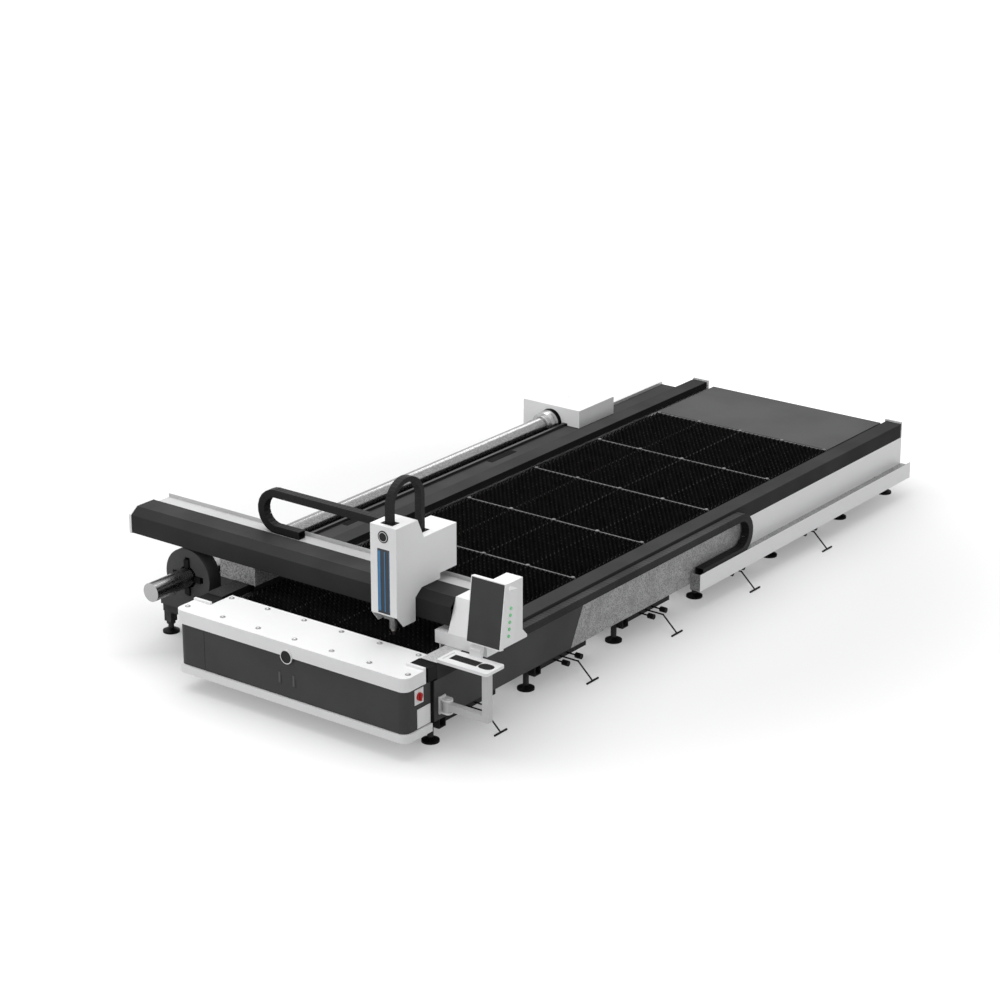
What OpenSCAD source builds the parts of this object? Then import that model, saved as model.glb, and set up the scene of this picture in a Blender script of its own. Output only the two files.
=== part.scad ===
// Flat-bed sheet and pipe laser cutter.
// X runs across the bed, Y along it from the operator's end, Z up from the floor.
// The pieces are drawn around the middle of the slat table and then moved, so that
// the origin lies on the floor under the middle of the whole machine.

/* [Slat table] */
// Height of the slat tips above the floor
table_h = 710; // [650:5:800]
// Rows of the table along the bed
table_rows = 6; // [3:1:8]
// Length of one row
row_pitch = 1060; // [900:10:1200]
// Columns of the table across the bed
table_cols = 4; // [3:1:5]
// Width of one column
col_pitch = 500; // [450:5:520]
// Slats in one row
slats_per_row = 10; // [6:1:14]
// Thickness of a slat
slat_t = 6; // [3:0.5:10]
// Height of a slat with its teeth
slat_h = 100; // [80:1:110]
// Height of a tooth
tooth_h = 28; // [10:1:40]
// Distance from tooth to tooth
tooth_pitch = 100; // [60:5:200]

/* [Bed] */
// Width of a rail beam
rail_w = 170; // [150:5:220]
// Gap between the slats and a rail beam
rail_gap = 75; // [72:1:100]
// Height of a rail cover
rail_h = 145; // [130:5:160]
// Height of the rail covers above the slat tips
rail_rise = 30; // [20:1:40]
// Height of the bed's side walls under the rail covers
wall_h = 355; // [320:5:370]
// Length of the bed behind the table
rear_l = 1065; // [900:5:1400]
// Thickness of the wall panels
panel_t = 8; // [4:1:12]
// Levelling feet along one side of the bed, before the last one
feet_n = 6; // [6:1:6]
// Distance from foot to foot
foot_pitch = 1300; // [1290:2:1330]
// Radius of a foot's disc
foot_r = 76; // [60:1:80]

/* [Front box] */
// Length of the front box before the table
front_l = 522; // [480:2:600]
// Height of the white top cover
cover_h = 118; // [100:1:125]
// Rise of the top cover above the slat tips
cover_rise = 18; // [5:1:25]
// Height of the white foot trim
trim_h = 70; // [40:1:90]
// Height of the dark panel between the trim and the cover
front_panel_h = 375; // [330:5:420]
// Radius of the front corners
corner_r = 70; // [40:1:100]

/* [Gantry] */
// Reach of the beam to the pipe side
beam_left = 2450; // [2380:5:2600]
// Depth of the beam
beam_d = 290; // [260:5:320]
// Height of the beam
beam_h = 225; // [200:5:240]
// Wall of the beam
beam_wall = 10; // [6:1:16]
// Height of the beam's underside above the slat tips
beam_rise = 195; // [190:1:230]
// Parking distance of the beam's front from the front of the table
beam_park = 230; // [200:5:260]

/* [Head] */
// Width of the head housing
head_w = 268; // [220:2:300]
// Place of the head's right side
head_x = 752; // [700:2:780]
// Height of the front tower above the slat tips
tower_h = 1022; // [960:2:1100]
// Sheet of the head housing
head_wall = 6; // [3:0.5:10]
// Height of the nozzle's tip above the slat tips
nozzle_gap = 40; // [36:1:60]

/* [Pipe section] */
// Distance of the pipe's axis from the middle of the table
pipe_x = 1800; // [1750:5:1850]
// Drop of the pipe's axis below the slat tips
pipe_drop = 70; // [68:1:80]
// Radius of the work pipe
pipe_r = 85; // [60:1:90]
// Length of the work pipe
pipe_l = 5928; // [5000:10:6400]
// Length of the pipe section's frame
tube_l = 6990; // [6900:10:7400]
// Wall of the work pipe
pipe_wall = 6; // [3:0.5:10]
// Radius of the front chuck
chuck_r = 255; // [240:1:256]
// Thickness of the front chuck
chuck_t = 140; // [120:2:160]
// Width of the rear chuck box
rear_w = 700; // [620:5:720]
// Length of the rear chuck box
rear_box_l = 610; // [560:5:660]

/* [Console] */
// Length of the console arm from its pivot to the post
arm_l = 395; // [380:1:420]
// Side of the square arm and post tubes
tube_w = 60; // [50:1:66]
// Width of the keyboard tray
tray_w = 507; // [480:1:520]
// Depth of the keyboard tray
tray_d = 242; // [220:1:250]
// Width of the monitor
monitor_w = 342; // [300:2:360]
// Height of the monitor
monitor_h = 552; // [480:2:570]
// Lean of the monitor
monitor_tilt = 7.8; // [0:0.2:9]

/* [Drag chains] */
// Width of the two long chains
chain_w = 83; // [70:1:90]
// Height of the two long chains
chain_h = 70; // [60:1:72]
// Length of one link
link_pitch = 92; // [70:1:120]
// Width of the head's chain
head_chain_w = 70; // [60:1:80]
// Height of the head's chain
head_chain_h = 44; // [36:1:48]
// Length of one link of the head's chain
head_link_pitch = 62; // [45:1:80]

/* [Scrap carts] */
// Width of a scrap cart
cart_w = 780; // [700:5:800]
// Height of a scrap cart's tray
cart_h = 52; // [40:1:70]
// Sheet of a scrap cart
cart_wall = 5; // [3:0.5:8]
// Scrap carts under the bed
cart_n = 5; // [5:1:5]

/* [Hidden] */
$fn = 48;

// Overrun of cuts, and the gaps between pieces
over = 2;
seat = 0.3;
run_gap = 0.06;
slide_gap = 0.5;

// Table and bed
table_w = table_cols*col_pitch;
table_l = table_rows*row_pitch;
table_front = -table_l/2;
table_back = table_l/2;
slat_pitch = row_pitch/slats_per_row;
slat_top = table_h;
slat_low = table_h - slat_h;
cradle_h = 60;
cradle_t = 14;
cradle_low = slat_low - cradle_h;
rail_in = table_w/2 + rail_gap;
rail_out = rail_in + rail_w;
rail_top = table_h + rail_rise;
rail_low = rail_top - rail_h;
wall_low = rail_low - wall_h;
bed_ahead = 160;
bed_front = table_front - bed_ahead;
bed_back = table_back + rear_l;
rail_set_back = 40;
rail_front = bed_front + rail_set_back;
beam_inset = 6;
beam_in = rail_in + beam_inset;
beam_tube = 12;
panel_out = rail_out;
cross_w = 120;
cross_h = 150;
deck_t = 10;
deck_drop = 10;
cap_t = 20;
cap_lip = 16;
wear_t = 2;
wear_l = 700;
stop_l = 120;
stop_drop = 6;
slant_from_front = 2060;
slant_run = 181;
slant_top = bed_front + slant_from_front;
slant_low = slant_top - slant_run;
foot_in = 123;
foot_from_front = 98;
foot_from_back = 84;
foot_first = bed_front + foot_from_front;
foot_rod_r = 26;
foot_disc_h = 18;
foot_cone_h = 26;
foot_nut_h = 24;
foot_nut_r = 40;
stub_w = 90;
stub_l = 67;
stub_wall = 10;
stub_shift = 13;

// Guide rails on the inner sides of the rail beams
guide_w = 26;
guide_h = 30;
guide_up = 46;
guide_z = rail_low + guide_up;
guide_block_l = 150;
guide_block_t = 12;
leg_t = 12;
leg_clear = 6;

// Front box
front_y = table_front - front_l;
cover_inset = 5;
cover_w = 2*(rail_out - cover_inset);
cover_top = table_h + cover_rise;
cover_low = cover_top - cover_h;
trim_z = cover_low - front_panel_h - trim_h;
cover_clear = 10;
cover_back = table_front - cover_clear;
cover_wall = 6;
notch_w = 185;
notch_l = 250;
notch_y = cover_back - notch_l;
lip_t = 25;
lip_h = 20;
box_in = 20;
box_gap = 20;
box_back = bed_front - box_gap;
box_wall = 8;
seam_x = -934;
seam_w = 4;
seam_d = 3;
bolt_r = 17;
bolt_h = 12;
bolt_washer_r = 24;
bolt_washer_h = 3;
front_bolts = 7;
front_bolt_y = 104;
front_bolt_pitch = 395;
rear_bolts = 6;
rear_bolt_y = 458;
rear_bolt_pitch = 404;
boss_r = 62;
boss_ring = 10;
boss_t = 10;
boss_face_t = 6;
mark_gap = 78;
mark_w = 12;
mark_h = 70;
mark_drop = 330;
mark_z = table_h - mark_drop;

// Plates and switch on the right side of the front box
plate_t = 4;
switch_plate_w = 110;
switch_plate_h = 130;
switch_from_front = 193;
switch_drop = 190;
switch_y = front_y + switch_from_front;
switch_z = table_h - switch_drop;
switch_r = 34;
switch_knob_t = 26;
switch_grip_w = 18;
lid_w = 165;
lid_h = 165;
lid_from_front = 252;
lid_drop = 384;
lid_y = front_y + lid_from_front;
lid_z = table_h - lid_drop;

// Cable tray and side chain
chain_off = 17;
chain_x = rail_out + chain_off + chain_w/2;
side_r = 167;
side_rise = 10;
side_top_z = table_h + side_rise - chain_h/2;
side_low_z = side_top_z - 2*side_r;
side_bend_y = 1085;
side_fixed_y = 450;
tray_floor = side_low_z - chain_h/2 - seat;
tray_t = 4;
tray_front = 390;
tray_past = 15;
tray_back = bed_back + tray_past;
tray_reach = 107;
tray_lip = 32;
tray_skirt = 130;

// Gantry
beam_front = table_front + beam_park;
beam_back = beam_front + beam_d;
beam_low = table_h + beam_rise;
beam_top = beam_low + beam_h;
beam_past = 30;
beam_right = rail_in + beam_past;
chamfer_d = 80;
chamfer_h = 60;
end_plate_t = 25;
end_plate_lip = 5;
beam_rail_t = 18;
beam_rail_h = 24;
beam_rail_up = 85;
beam_rail_step = 85;
channel_w = 45;
channel_up = 40;
trough_front = beam_back + channel_w;
trough_w = 150;
trough_drop = 30;
trough_floor = beam_top - trough_drop;
trough_wall = 4;
trough_rise = 5;
trough_top = beam_top + trough_rise;
trough_right = beam_right;
carriage_gap = 4;
carriage_low = rail_top + carriage_gap;
foot_ahead = 30;
foot_behind = 219;
foot_front = beam_front - foot_ahead;
foot_back = beam_back + foot_behind;
base_rise = 145;
base_top = table_h + base_rise;
base_over = 105;
base_in = rail_in - base_over;
carriage_over = 255;
carriage_out = rail_out + carriage_over;
upright_t = 20;
slope_run = 77;
slope_rise = 10;
slope_top = [beam_front + slope_run, beam_top + slope_rise];
motor_ahead = 40;
motor_behind = 158;
motor_rise = 577;
motor_front = beam_back - motor_ahead;
motor_back = beam_back + motor_behind;
motor_top = table_h + motor_rise;
motor_w = 161;
flare_high = 120;
flare_low = 56;
flare_z = [table_h + flare_high, table_h + flare_low];
cover_t = 6;
left_over = 160;
left_skirt = 110;
left_out = rail_out + left_over;
bracket_l = 40;
bracket_behind = 100;
bracket_y = beam_back + bracket_behind;

// Head
head_left = head_x - head_w;
head_mid = head_x - head_w/2;
tower_ahead = 245;
tower_top_back = 33;
notch_run = 113;
head_behind = 250;
tower_front = beam_front - tower_ahead;
tower_back = beam_front + tower_top_back;
notch_back = beam_front + notch_run;
head_back = beam_back + head_behind;
head_top = table_h + tower_h;
notch_drop = 170;
notch_z = head_top - notch_drop;
head_under_rise = 55;
head_under = beam_top + head_under_rise;
head_gap = 6;
tower_rise = 156;
tower_low = table_h + tower_rise;
tower_cut_h = 100;
tower_cut_d = 81;
axis_in = 120;
head_axis_y = tower_front + axis_in;
window_w = 126;
window_up = 108;
window_low = tower_low + window_up;
window_h = 560;
window_t = 4;
cut_body_w = 110;
cut_body_d = 118;
cut_body_h = 470;
cut_neck_r = 38;
cut_neck_h = 92;
nozzle_r = 26;
nozzle_tip_r = 5;
nozzle_h = 62;
nozzle_bore = 2;
nozzle_cone_share = 0.66;
z_plate_w = 170;
z_stroke = 130;
plate_in = 34;
plate_y = 26;
saddle_t = 10;
saddle_up = 60;
saddle_w = 120;

// Chains of the beam and the head
chain_behind = 105;
beam_chain_y = beam_back + chain_behind;
beam_chain_low = trough_floor + seat + chain_h/2;
beam_chain_r = 164;
beam_chain_bend = -1070;
beam_chain_fixed = -810;
head_chain_r = 192;
head_chain_off = 30;
head_chain_rise = 130;
head_chain_y = head_axis_y - head_chain_off;
head_chain_z = head_top + head_chain_rise;
head_slot_gap = 6;
core_share = 0.72;
link_share = 0.88;
link_cut_share = 0.22;

// Pipe section
pipe_z = table_h - pipe_drop;
chuck_set_back = 5;
chuck_front = beam_front + chuck_set_back;
chuck_back = chuck_front + chuck_t;
pipe_out = 463;
pipe_front = chuck_front - pipe_out;
pipe_back = pipe_front + pipe_l;
deck_below = 90;
deck_z = table_h - deck_below;
valley = 140;
deck_out = 380;
deck_plate_h = 70;
tube_gap = 15;
tube_front = chuck_back + tube_gap;
tube_back = tube_front + tube_l;
outer_drop = 130;
outer_deck_z = deck_z - outer_drop;
outer_past = 50;
bridge_t = 8;
valley_share = 0.484;
valley_floor = deck_z*valley_share;
side_tube_w = 90;
rail_section = 30;
rail_off = 170;
tube_feet_n = 6;
outer_feet_n = tube_feet_n - 1;
tube_foot_in = 40;
leg_w = 80;
leg_share = 0.52;
leg_low = (valley_floor - side_tube_w)*leg_share;
disc_r = 180;
disc_gap = 15;
disc_bore = pipe_r + disc_gap;
jaw_w = 56;
jaw_l = 74;
jaw_t = 70;
jaw_out = 18;
jaw_gap = 1;
pedestal_w = 300;
base_w = 716;
base_h = 120;
pipe_in_box = 80;
rear_front = pipe_back - pipe_in_box;
outer_back = rear_front + rear_box_l + outer_past;
rear_rise = 100;
rear_top = table_h + rear_rise;
rear_clear = 8;
rear_low = deck_z + rear_clear;
rear_block = 35;
belly_gap = 5;
spindle_r = 105;
spindle_out = 150;
spindle_front = rear_front - spindle_out;
collar_r = 122;
collar_l = 60;
groove_w = 6;
groove_d = 8;
recess_r = 130;
recess_d = 30;
nose_l = 42;
nose_r = 100;
slot_l = 60;
slot_w = 26;
slot_d = 4;
support_places = [1890, 4087];
support_base_l = 400;
support_base_w = 62;
support_base_t = 4;
support_w = 100;
support_below = 145;
support_top = pipe_z - support_below;
support_v_h = 70;
support_v_w = 200;
sleeve_wall = 8;
sleeve_share = 0.88;
sleeve_h = (support_top - support_v_h - valley_floor)*sleeve_share;

// Console
pivot_out = 65;
pivot_from_front = 92;
pivot_x = rail_out + pivot_out;
pivot_y = bed_front + pivot_from_front;
arm_drop = 345;
arm_z = table_h - arm_drop;
pin_r = 18;
knuckle_r = 42;
knuckle_h = 96;
ear_t = 14;
ear_w = 84;
bracket_t = 12;
bracket_h = 150;
pin_head_r = 26;
pin_head_h = 10;
post_x = pivot_x + arm_l;
post_y = pivot_y;
tray_board_t = 26;
board_rise = 35;
board_past = 35;
board_ahead = 52;
tray_z = table_h + board_rise;
tray_right = post_x + board_past;
tray_left = tray_right - tray_w;
tray_y = post_y - board_ahead;
tray_r = 22;
insert_d = 8;
key_w = 270;
key_d = 96;
key_x = 70;
key_y = 74;
key_rows = 4;
key_cols = 14;
key_gap = 3;
key_h = 3;
pad_r = 52;
pad_l = 34;
pad_x = 412;
pad_y = 120;
pen_w = 16;
pen_l = 150;
pen_x = 28;
pen_y = 46;
neck_w = 110;
neck_t = 26;
neck_rise = 150;
monitor_in = 27;
monitor_back = 210;
monitor_rise = 178;
monitor_x = tray_right - monitor_in - monitor_w;
monitor_y = tray_y + monitor_back;
monitor_z = table_h + monitor_rise;
monitor_t = 45;
screen_rim = 8;
screen_t = 4;
ctrl_w = 168;
ctrl_d = 130;
ctrl_h = 445;
ctrl_drop = 60;
lamp_n = 5;
lamp_r = 14;
lamp_t = 6;
lamp_gap = 58;
lamp_low = 62;
lamp_in = 52;

// Scrap carts
cart_past_foot = 460;
cart_in = 95;
cart_front = rail_out - cart_in;
cart_l = 1850;
cart_below = 62;
cart_top = wall_low - cart_below;
cart_lip = 12;
guide_t = 6;
ledge_t = 6;
pull_r = 7;
pull_bar = 164;
grip_r = 9;
pull_stub = 186;
pull_reach = 243;
pull_x = cart_front + pull_stub;
pull_out = rail_out + pull_reach;
lug_r = 25;
lug_l = 60;
lug_gap = 192;

// The whole machine's box, and the shift that brings its middle to the origin
x_low = -beam_left - end_plate_t;
x_high = tray_right;
y_low = front_y - boss_t;
y_high = tray_back;
origin_x = (x_low + x_high)/2;
origin_y = (y_low + y_high)/2;

module place() {
    translate([-origin_x, -origin_y, 0]) children();
}

// A block between two corners
module block(low, high) {
    translate(low) cube(high - low);
}

// An outline in Y and Z, drawn out along X
module along_x(x0, x1) {
    translate([x0, 0, 0]) rotate([90, 0, 90]) linear_extrude(x1 - x0) children();
}

// An outline in X and Z, drawn out along Y
module along_y(y0, y1) {
    translate([0, y1, 0]) rotate([90, 0, 0]) linear_extrude(y1 - y0) children();
}

// A round bar along Y, X or Z
module rod_y(r, y0, y1) {
    translate([0, y1, 0]) rotate([90, 0, 0]) cylinder(r = r, h = y1 - y0);
}

module rod_x(r, x0, x1) {
    translate([x0, 0, 0]) rotate([0, 90, 0]) cylinder(r = r, h = x1 - x0);
}

module both_sides() {
    children();
    mirror([1, 0, 0]) children();
}

function foot_y(i) = i < feet_n ? foot_first + i*foot_pitch : bed_back - foot_from_back;
function cart_y(i) = foot_y(i) + cart_past_foot;
function tube_foot_y(i) = tube_front - tube_foot_in + i*tube_l/(tube_feet_n - 1);
function support_y(i) = tube_front + support_places[i];

// Welded frame: two box beams along the sides, cross tubes and the carts' guides
module bed_frame() {
    color("dimgray") union() {
        both_sides() difference() {
            block([beam_in, bed_front, wall_low], [panel_out - panel_t, bed_back - panel_t, rail_low]);
            block([beam_in + beam_tube, bed_front + beam_tube, wall_low + beam_tube],
                [panel_out - panel_t - beam_tube, bed_back - panel_t - beam_tube, rail_low - beam_tube]);
        }
        for (i = [0 : feet_n])
            block([-beam_in, foot_y(i) - cross_w/2, cradle_low - cross_h],
                [beam_in, foot_y(i) + cross_w/2, cradle_low]);
        for (i = [0 : feet_n]) translate([0, foot_y(i) + stub_shift, 0]) both_sides() tube_stub();
        for (i = [0 : cart_n - 1]) translate([0, cart_y(i), 0]) both_rows() cart_guide();
    }
}

// Open end of a square cross tube under a side beam, beside a foot
module tube_stub() {
    out = panel_out - panel_t;
    difference() {
        block([out - stub_l, -stub_w/2, wall_low - stub_w], [out, stub_w/2, wall_low + beam_tube/2]);
        block([out - stub_l + stub_wall, stub_wall - stub_w/2, wall_low - stub_w + stub_wall],
            [out + over, stub_w/2 - stub_wall, wall_low - stub_wall]);
    }
}

module both_rows() {
    children();
    mirror([0, 1, 0]) children();
}

// An angle that a cart's lip runs on, hung under the two side beams
module cart_guide() {
    ledge_z = cart_top - cart_wall - seat;
    in_y = cart_w/2 + slide_gap;
    end = beam_in + guide_w;
    block([-end, in_y, ledge_z - ledge_t], [end, in_y + guide_t, wall_low]);
    block([-end, in_y - cart_lip, ledge_z - ledge_t], [end, in_y, ledge_z]);
}

// Turned profile of a levelling foot: disc, cone, screw and nut
module foot(top) {
    rotate_extrude() polygon([[0, 0], [foot_r, 0], [foot_r, foot_disc_h],
        [foot_rod_r, foot_disc_h + foot_cone_h], [foot_rod_r, top - foot_nut_h],
        [foot_nut_r, top - foot_nut_h], [foot_nut_r, top], [0, top]]);
}

module levelling_feet() {
    color("black") {
        for (i = [0 : feet_n]) both_sides()
            translate([panel_out - foot_in, foot_y(i), 0]) foot(wall_low);
        for (i = [0 : tube_feet_n - 1])
            translate([-pipe_x + deck_out - leg_w/2, tube_foot_y(i), 0]) foot(leg_low);
        for (i = [0 : outer_feet_n - 1])
            translate([-pipe_x - deck_out + leg_w/2, tube_foot_y(i), 0]) foot(leg_low);
    }
}

// Bars under the slats along the bed, and a bar across them at each row
module slat_cradle() {
    color("silver") {
        for (i = [0 : table_cols]) translate([(i - table_cols/2)*col_pitch, 0, 0])
            block([-cradle_t/2, table_front, cradle_low], [cradle_t/2, table_back, slat_low]);
        for (i = [0 : table_rows]) translate([0, table_front + i*row_pitch, 0])
            block([-table_w/2, -cradle_t/2, slat_low + seat], [table_w/2, cradle_t/2, slat_top - tooth_h/2]);
    }
}

// One slat: a strip with a row of pointed teeth
module slat() {
    n = floor(table_w/tooth_pitch);
    step = table_w/n;
    teeth = [for (i = [0 : n - 1]) each
        [[-table_w/2 + i*step, slat_h - tooth_h], [-table_w/2 + (i + 1/2)*step, slat_h]]];
    along_y(-slat_t/2, slat_t/2)
        polygon(concat([[-table_w/2, 0]], teeth, [[table_w/2, slat_h - tooth_h], [table_w/2, 0]]));
}

module table_slats() {
    color("#151515") for (r = [0 : table_rows - 1], k = [0 : slats_per_row - 1])
        translate([0, table_front + r*row_pitch + (k + 1/2)*slat_pitch, slat_low]) slat();
}

// Folded rail covers along both sides, open below
module rail_beams() {
    color("#3d3d3d") both_sides() difference() {
        block([rail_in, rail_front, rail_low], [rail_out, bed_back - cap_t, rail_top]);
        block([rail_in + beam_tube, rail_front - over, rail_low - over],
            [rail_out - beam_tube, bed_back - cap_t + over, rail_top - beam_tube]);
    }
}

// Guide rails that the gantry runs on, on the inner sides of the rail beams
module linear_rails() {
    color("lightgray") both_sides()
        block([rail_in - guide_w, table_front, guide_z], [rail_in, bed_back - cap_t, guide_z + guide_h]);
}

// End caps of the rail covers, and the thin plates on their front ends
module rail_end_caps() {
    color("white") both_sides() {
        block([rail_in - cap_lip, bed_back - cap_t, rail_low], [rail_out, bed_back, rail_top + cap_lip]);
        block([rail_in, rail_front, rail_top], [rail_out, rail_front + wear_l, rail_top + wear_t]);
    }
}

// Dark blocks that close the rail beams in the notches of the front cover
module rail_end_stops() {
    color("black") both_sides()
        block([rail_in - cap_lip, rail_front - stop_l, cover_low],
            [rail_out, rail_front, rail_top - stop_drop]);
}

// Outline of the front box in plan, with two round corners at the front
module box_plan(half, y0, y1, r) {
    translate([-half, y0 + r]) square([2*half, y1 - y0 - r]);
    translate([r - half, y0]) square([2*(half - r), y1 - y0]);
    for (s = [-1, 1]) translate([s*(half - r), y0 + r]) circle(r);
}

module front_box() {
    half = cover_w/2 - box_in;
    color("#4a4a4a") difference() {
        translate([0, 0, trim_z + trim_h]) linear_extrude(cover_low - trim_z - trim_h)
            box_plan(half, front_y + box_in, box_back, corner_r);
        translate([0, 0, trim_z + trim_h - over]) linear_extrude(cover_low - trim_z - trim_h + 2*over)
            box_plan(half - box_wall, front_y + box_in + box_wall, box_back + over, corner_r - box_wall);
        block([seam_x, front_y + box_in - over, trim_z + trim_h - over],
            [seam_x + seam_w, front_y + box_in + seam_d, cover_low + over]);
        for (s = [-1, 1]) translate([s*mark_gap, 0, mark_z])
            block([-mark_w/2, front_y + box_in - over, -mark_h/2],
                [mark_w/2, front_y + box_in + seam_d, mark_h/2]);
    }
}

// White cap over the front box, with a notch and a raised lip at each rear corner
module front_cover() {
    color("white") difference() {
        union() {
            translate([0, 0, cover_low]) linear_extrude(cover_h)
                box_plan(cover_w/2, front_y, cover_back, corner_r);
            both_sides() block([cover_w/2 - notch_w, notch_y - lip_t, cover_top],
                [cover_w/2, notch_y, cover_top + lip_h]);
        }
        both_sides() block([cover_w/2 - notch_w, notch_y, cover_low - over],
            [cover_w/2 + over, cover_back + over, cover_top + over]);
        block([notch_w - cover_w/2 + cover_wall, box_back, cover_low - over],
            [cover_w/2 - notch_w - cover_wall, cover_back - cover_wall, cover_top - cover_wall]);
    }
}

module front_trim() {
    color("white") translate([0, 0, trim_z]) linear_extrude(trim_h) difference() {
        box_plan(cover_w/2, front_y, box_back, corner_r);
        box_plan(cover_w/2 - box_in - box_wall, front_y + box_in + box_wall, box_back + over,
            corner_r - box_wall);
    }
}

// Dome-headed bolts with washers in two rows on the front cover
module cover_bolts() {
    color("silver") {
        bolt_row(front_bolts, front_bolt_pitch, front_bolt_y);
        bolt_row(rear_bolts, rear_bolt_pitch, rear_bolt_y);
    }
}

module bolt_row(n, pitch, y) {
    for (i = [0 : n - 1]) translate([(i - (n - 1)/2)*pitch, front_y + y, cover_top]) dome_bolt();
}

// A washer with a dome on it, turned from the washer's half outline and an arc
module dome_bolt() {
    dome_r = (bolt_r*bolt_r + bolt_h*bolt_h)/(2*bolt_h);
    cylinder(r = bolt_washer_r, h = bolt_washer_h);
    translate([0, 0, bolt_washer_h]) rotate_extrude() intersection() {
        translate([0, bolt_h - dome_r]) circle(dome_r);
        square([bolt_r, bolt_h]);
    }
}

// Plain round boss at the lower edge of the front cover
module front_boss() {
    color("white") translate([0, 0, cover_low]) difference() {
        rod_y(boss_r, front_y - boss_t, front_y);
        rod_y(boss_r - boss_ring, front_y - boss_t - over, front_y - boss_face_t);
    }
}

// Switch plate and a plain lid plate on the right side of the front box
module side_plates() {
    side = cover_w/2 - box_in;
    color("white") {
        block([side, switch_y - switch_plate_w/2, switch_z - switch_plate_h/2],
            [side + plate_t, switch_y + switch_plate_w/2, switch_z + switch_plate_h/2]);
        block([side, lid_y - lid_w/2, lid_z - lid_h/2],
            [side + plate_t, lid_y + lid_w/2, lid_z + lid_h/2]);
    }
}

// Red rotary switch: a disc with a grip across it
module power_switch() {
    side = cover_w/2 - box_in + plate_t + seat;
    color("red") translate([0, switch_y, switch_z]) union() {
        rod_x(switch_r, side, side + switch_knob_t/2);
        block([side, -switch_grip_w/2, -switch_r], [side + switch_knob_t, switch_grip_w/2, switch_r]);
    }
}

// Dark front wall panels with a slanted rear edge
module front_side_panels() {
    color("#454545") both_sides() along_x(panel_out - panel_t, panel_out)
        polygon([[bed_front, wall_low], [slant_low, wall_low],
            [slant_top, rail_low], [bed_front, rail_low]]);
}

// Bare steel wall panels behind them
module rear_side_panels() {
    color("silver") both_sides() along_x(panel_out - panel_t, panel_out)
        polygon([[slant_low, wall_low], [bed_back, wall_low], [bed_back, rail_low], [slant_top, rail_low]]);
}

// Plain deck behind the table and the plate that closes the bed's rear end
module rear_deck() {
    half = table_w/2;
    deck_top = slat_top - deck_drop;
    color("gray") union() {
        block([-half, table_back + cradle_t, deck_top - deck_t], [half, bed_back, deck_top]);
        block([-panel_out + panel_t, bed_back - panel_t, wall_low],
            [panel_out - panel_t, bed_back, rail_low]);
        block([-half, bed_back - panel_t, rail_low], [half, bed_back, deck_top]);
    }
}

// Tray on the right wall that the side chain lies in
module cable_tray() {
    low = tray_floor - tray_skirt;
    out = panel_out + tray_reach;
    color("white") union() {
        block([panel_out, tray_front, tray_floor - tray_t], [out, tray_back, tray_floor]);
        block([out - tray_t, tray_front, low], [out, tray_back, tray_floor + tray_lip]);
        block([panel_out, tray_front, low], [out, tray_front + tray_t, tray_floor + tray_lip]);
        block([panel_out, tray_front, low], [panel_out + tray_t, bed_back, tray_floor]);
    }
}

// One side of the pipe bed: a deck on a side beam, half of the valley floor, and legs
module pipe_deck(top, back, legs) {
    block([valley, tube_front, top - deck_plate_h], [deck_out, back, top]);
    block([deck_out - side_tube_w, tube_front, valley_floor], [deck_out, back, top - deck_plate_h]);
    block([-side_tube_w, tube_front - side_tube_w, valley_floor - side_tube_w],
        [deck_out, back, valley_floor]);
    for (i = [0 : legs - 1]) translate([deck_out - leg_w/2, tube_foot_y(i), 0])
        block([-leg_w/2, -leg_w/2, leg_low], [leg_w/2, leg_w/2, valley_floor]);
}

// Frame beside the bed that carries the pipe: a long deck by the bed and a lower outer deck
module tube_bed() {
    color("#3c3c3c") translate([-pipe_x, 0, 0]) union() {
        pipe_deck(deck_z, tube_back, tube_feet_n);
        mirror([1, 0, 0]) pipe_deck(outer_deck_z, outer_back, outer_feet_n);
        for (i = [0, 1]) translate([0, support_y(i), valley_floor]) difference() {
            block([-support_w/2 - sleeve_wall, -support_w/2 - sleeve_wall, 0],
                [support_w/2 + sleeve_wall, support_w/2 + sleeve_wall, sleeve_h]);
            block([-support_w/2 - slide_gap, -support_w/2 - slide_gap, 0],
                [support_w/2 + slide_gap, support_w/2 + slide_gap, sleeve_h + over]);
        }
        for (i = [0, 1]) translate([0, support_y(i), deck_z])
            block([rail_off + rail_section, -support_base_l/2, 0],
                [rail_off + rail_section + support_base_w, support_base_l/2, support_base_t]);
        block([deck_out, tube_front, deck_z - bridge_t], [pipe_x - panel_out, tube_back, deck_z]);
    }
}

module pipe_rail(deck, back) {
    block([rail_off - rail_section/2, tube_front, deck],
        [rail_off + rail_section/2, back, deck + rail_section]);
}

module tube_rails() {
    color("lightgray") translate([-pipe_x, 0, 0]) {
        pipe_rail(deck_z, tube_back);
        mirror([1, 0, 0]) pipe_rail(outer_deck_z, outer_back);
    }
}

// Drum of the front chuck on its pedestal
module chuck_housing() {
    color("#404040") translate([-pipe_x, 0, 0]) difference() {
        union() {
            translate([0, 0, pipe_z]) rod_y(chuck_r, chuck_front, chuck_front + chuck_t);
            block([-pedestal_w/2, chuck_front + jaw_out, valley_floor + base_h],
                [pedestal_w/2, chuck_front + chuck_t, pipe_z]);
            block([-base_w/2, chuck_front + jaw_out, valley_floor],
                [base_w/2, tube_front, valley_floor + base_h]);
        }
        translate([0, 0, pipe_z]) rod_y(disc_r + run_gap, chuck_front - over, chuck_front + chuck_t + over);
    }
}

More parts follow.
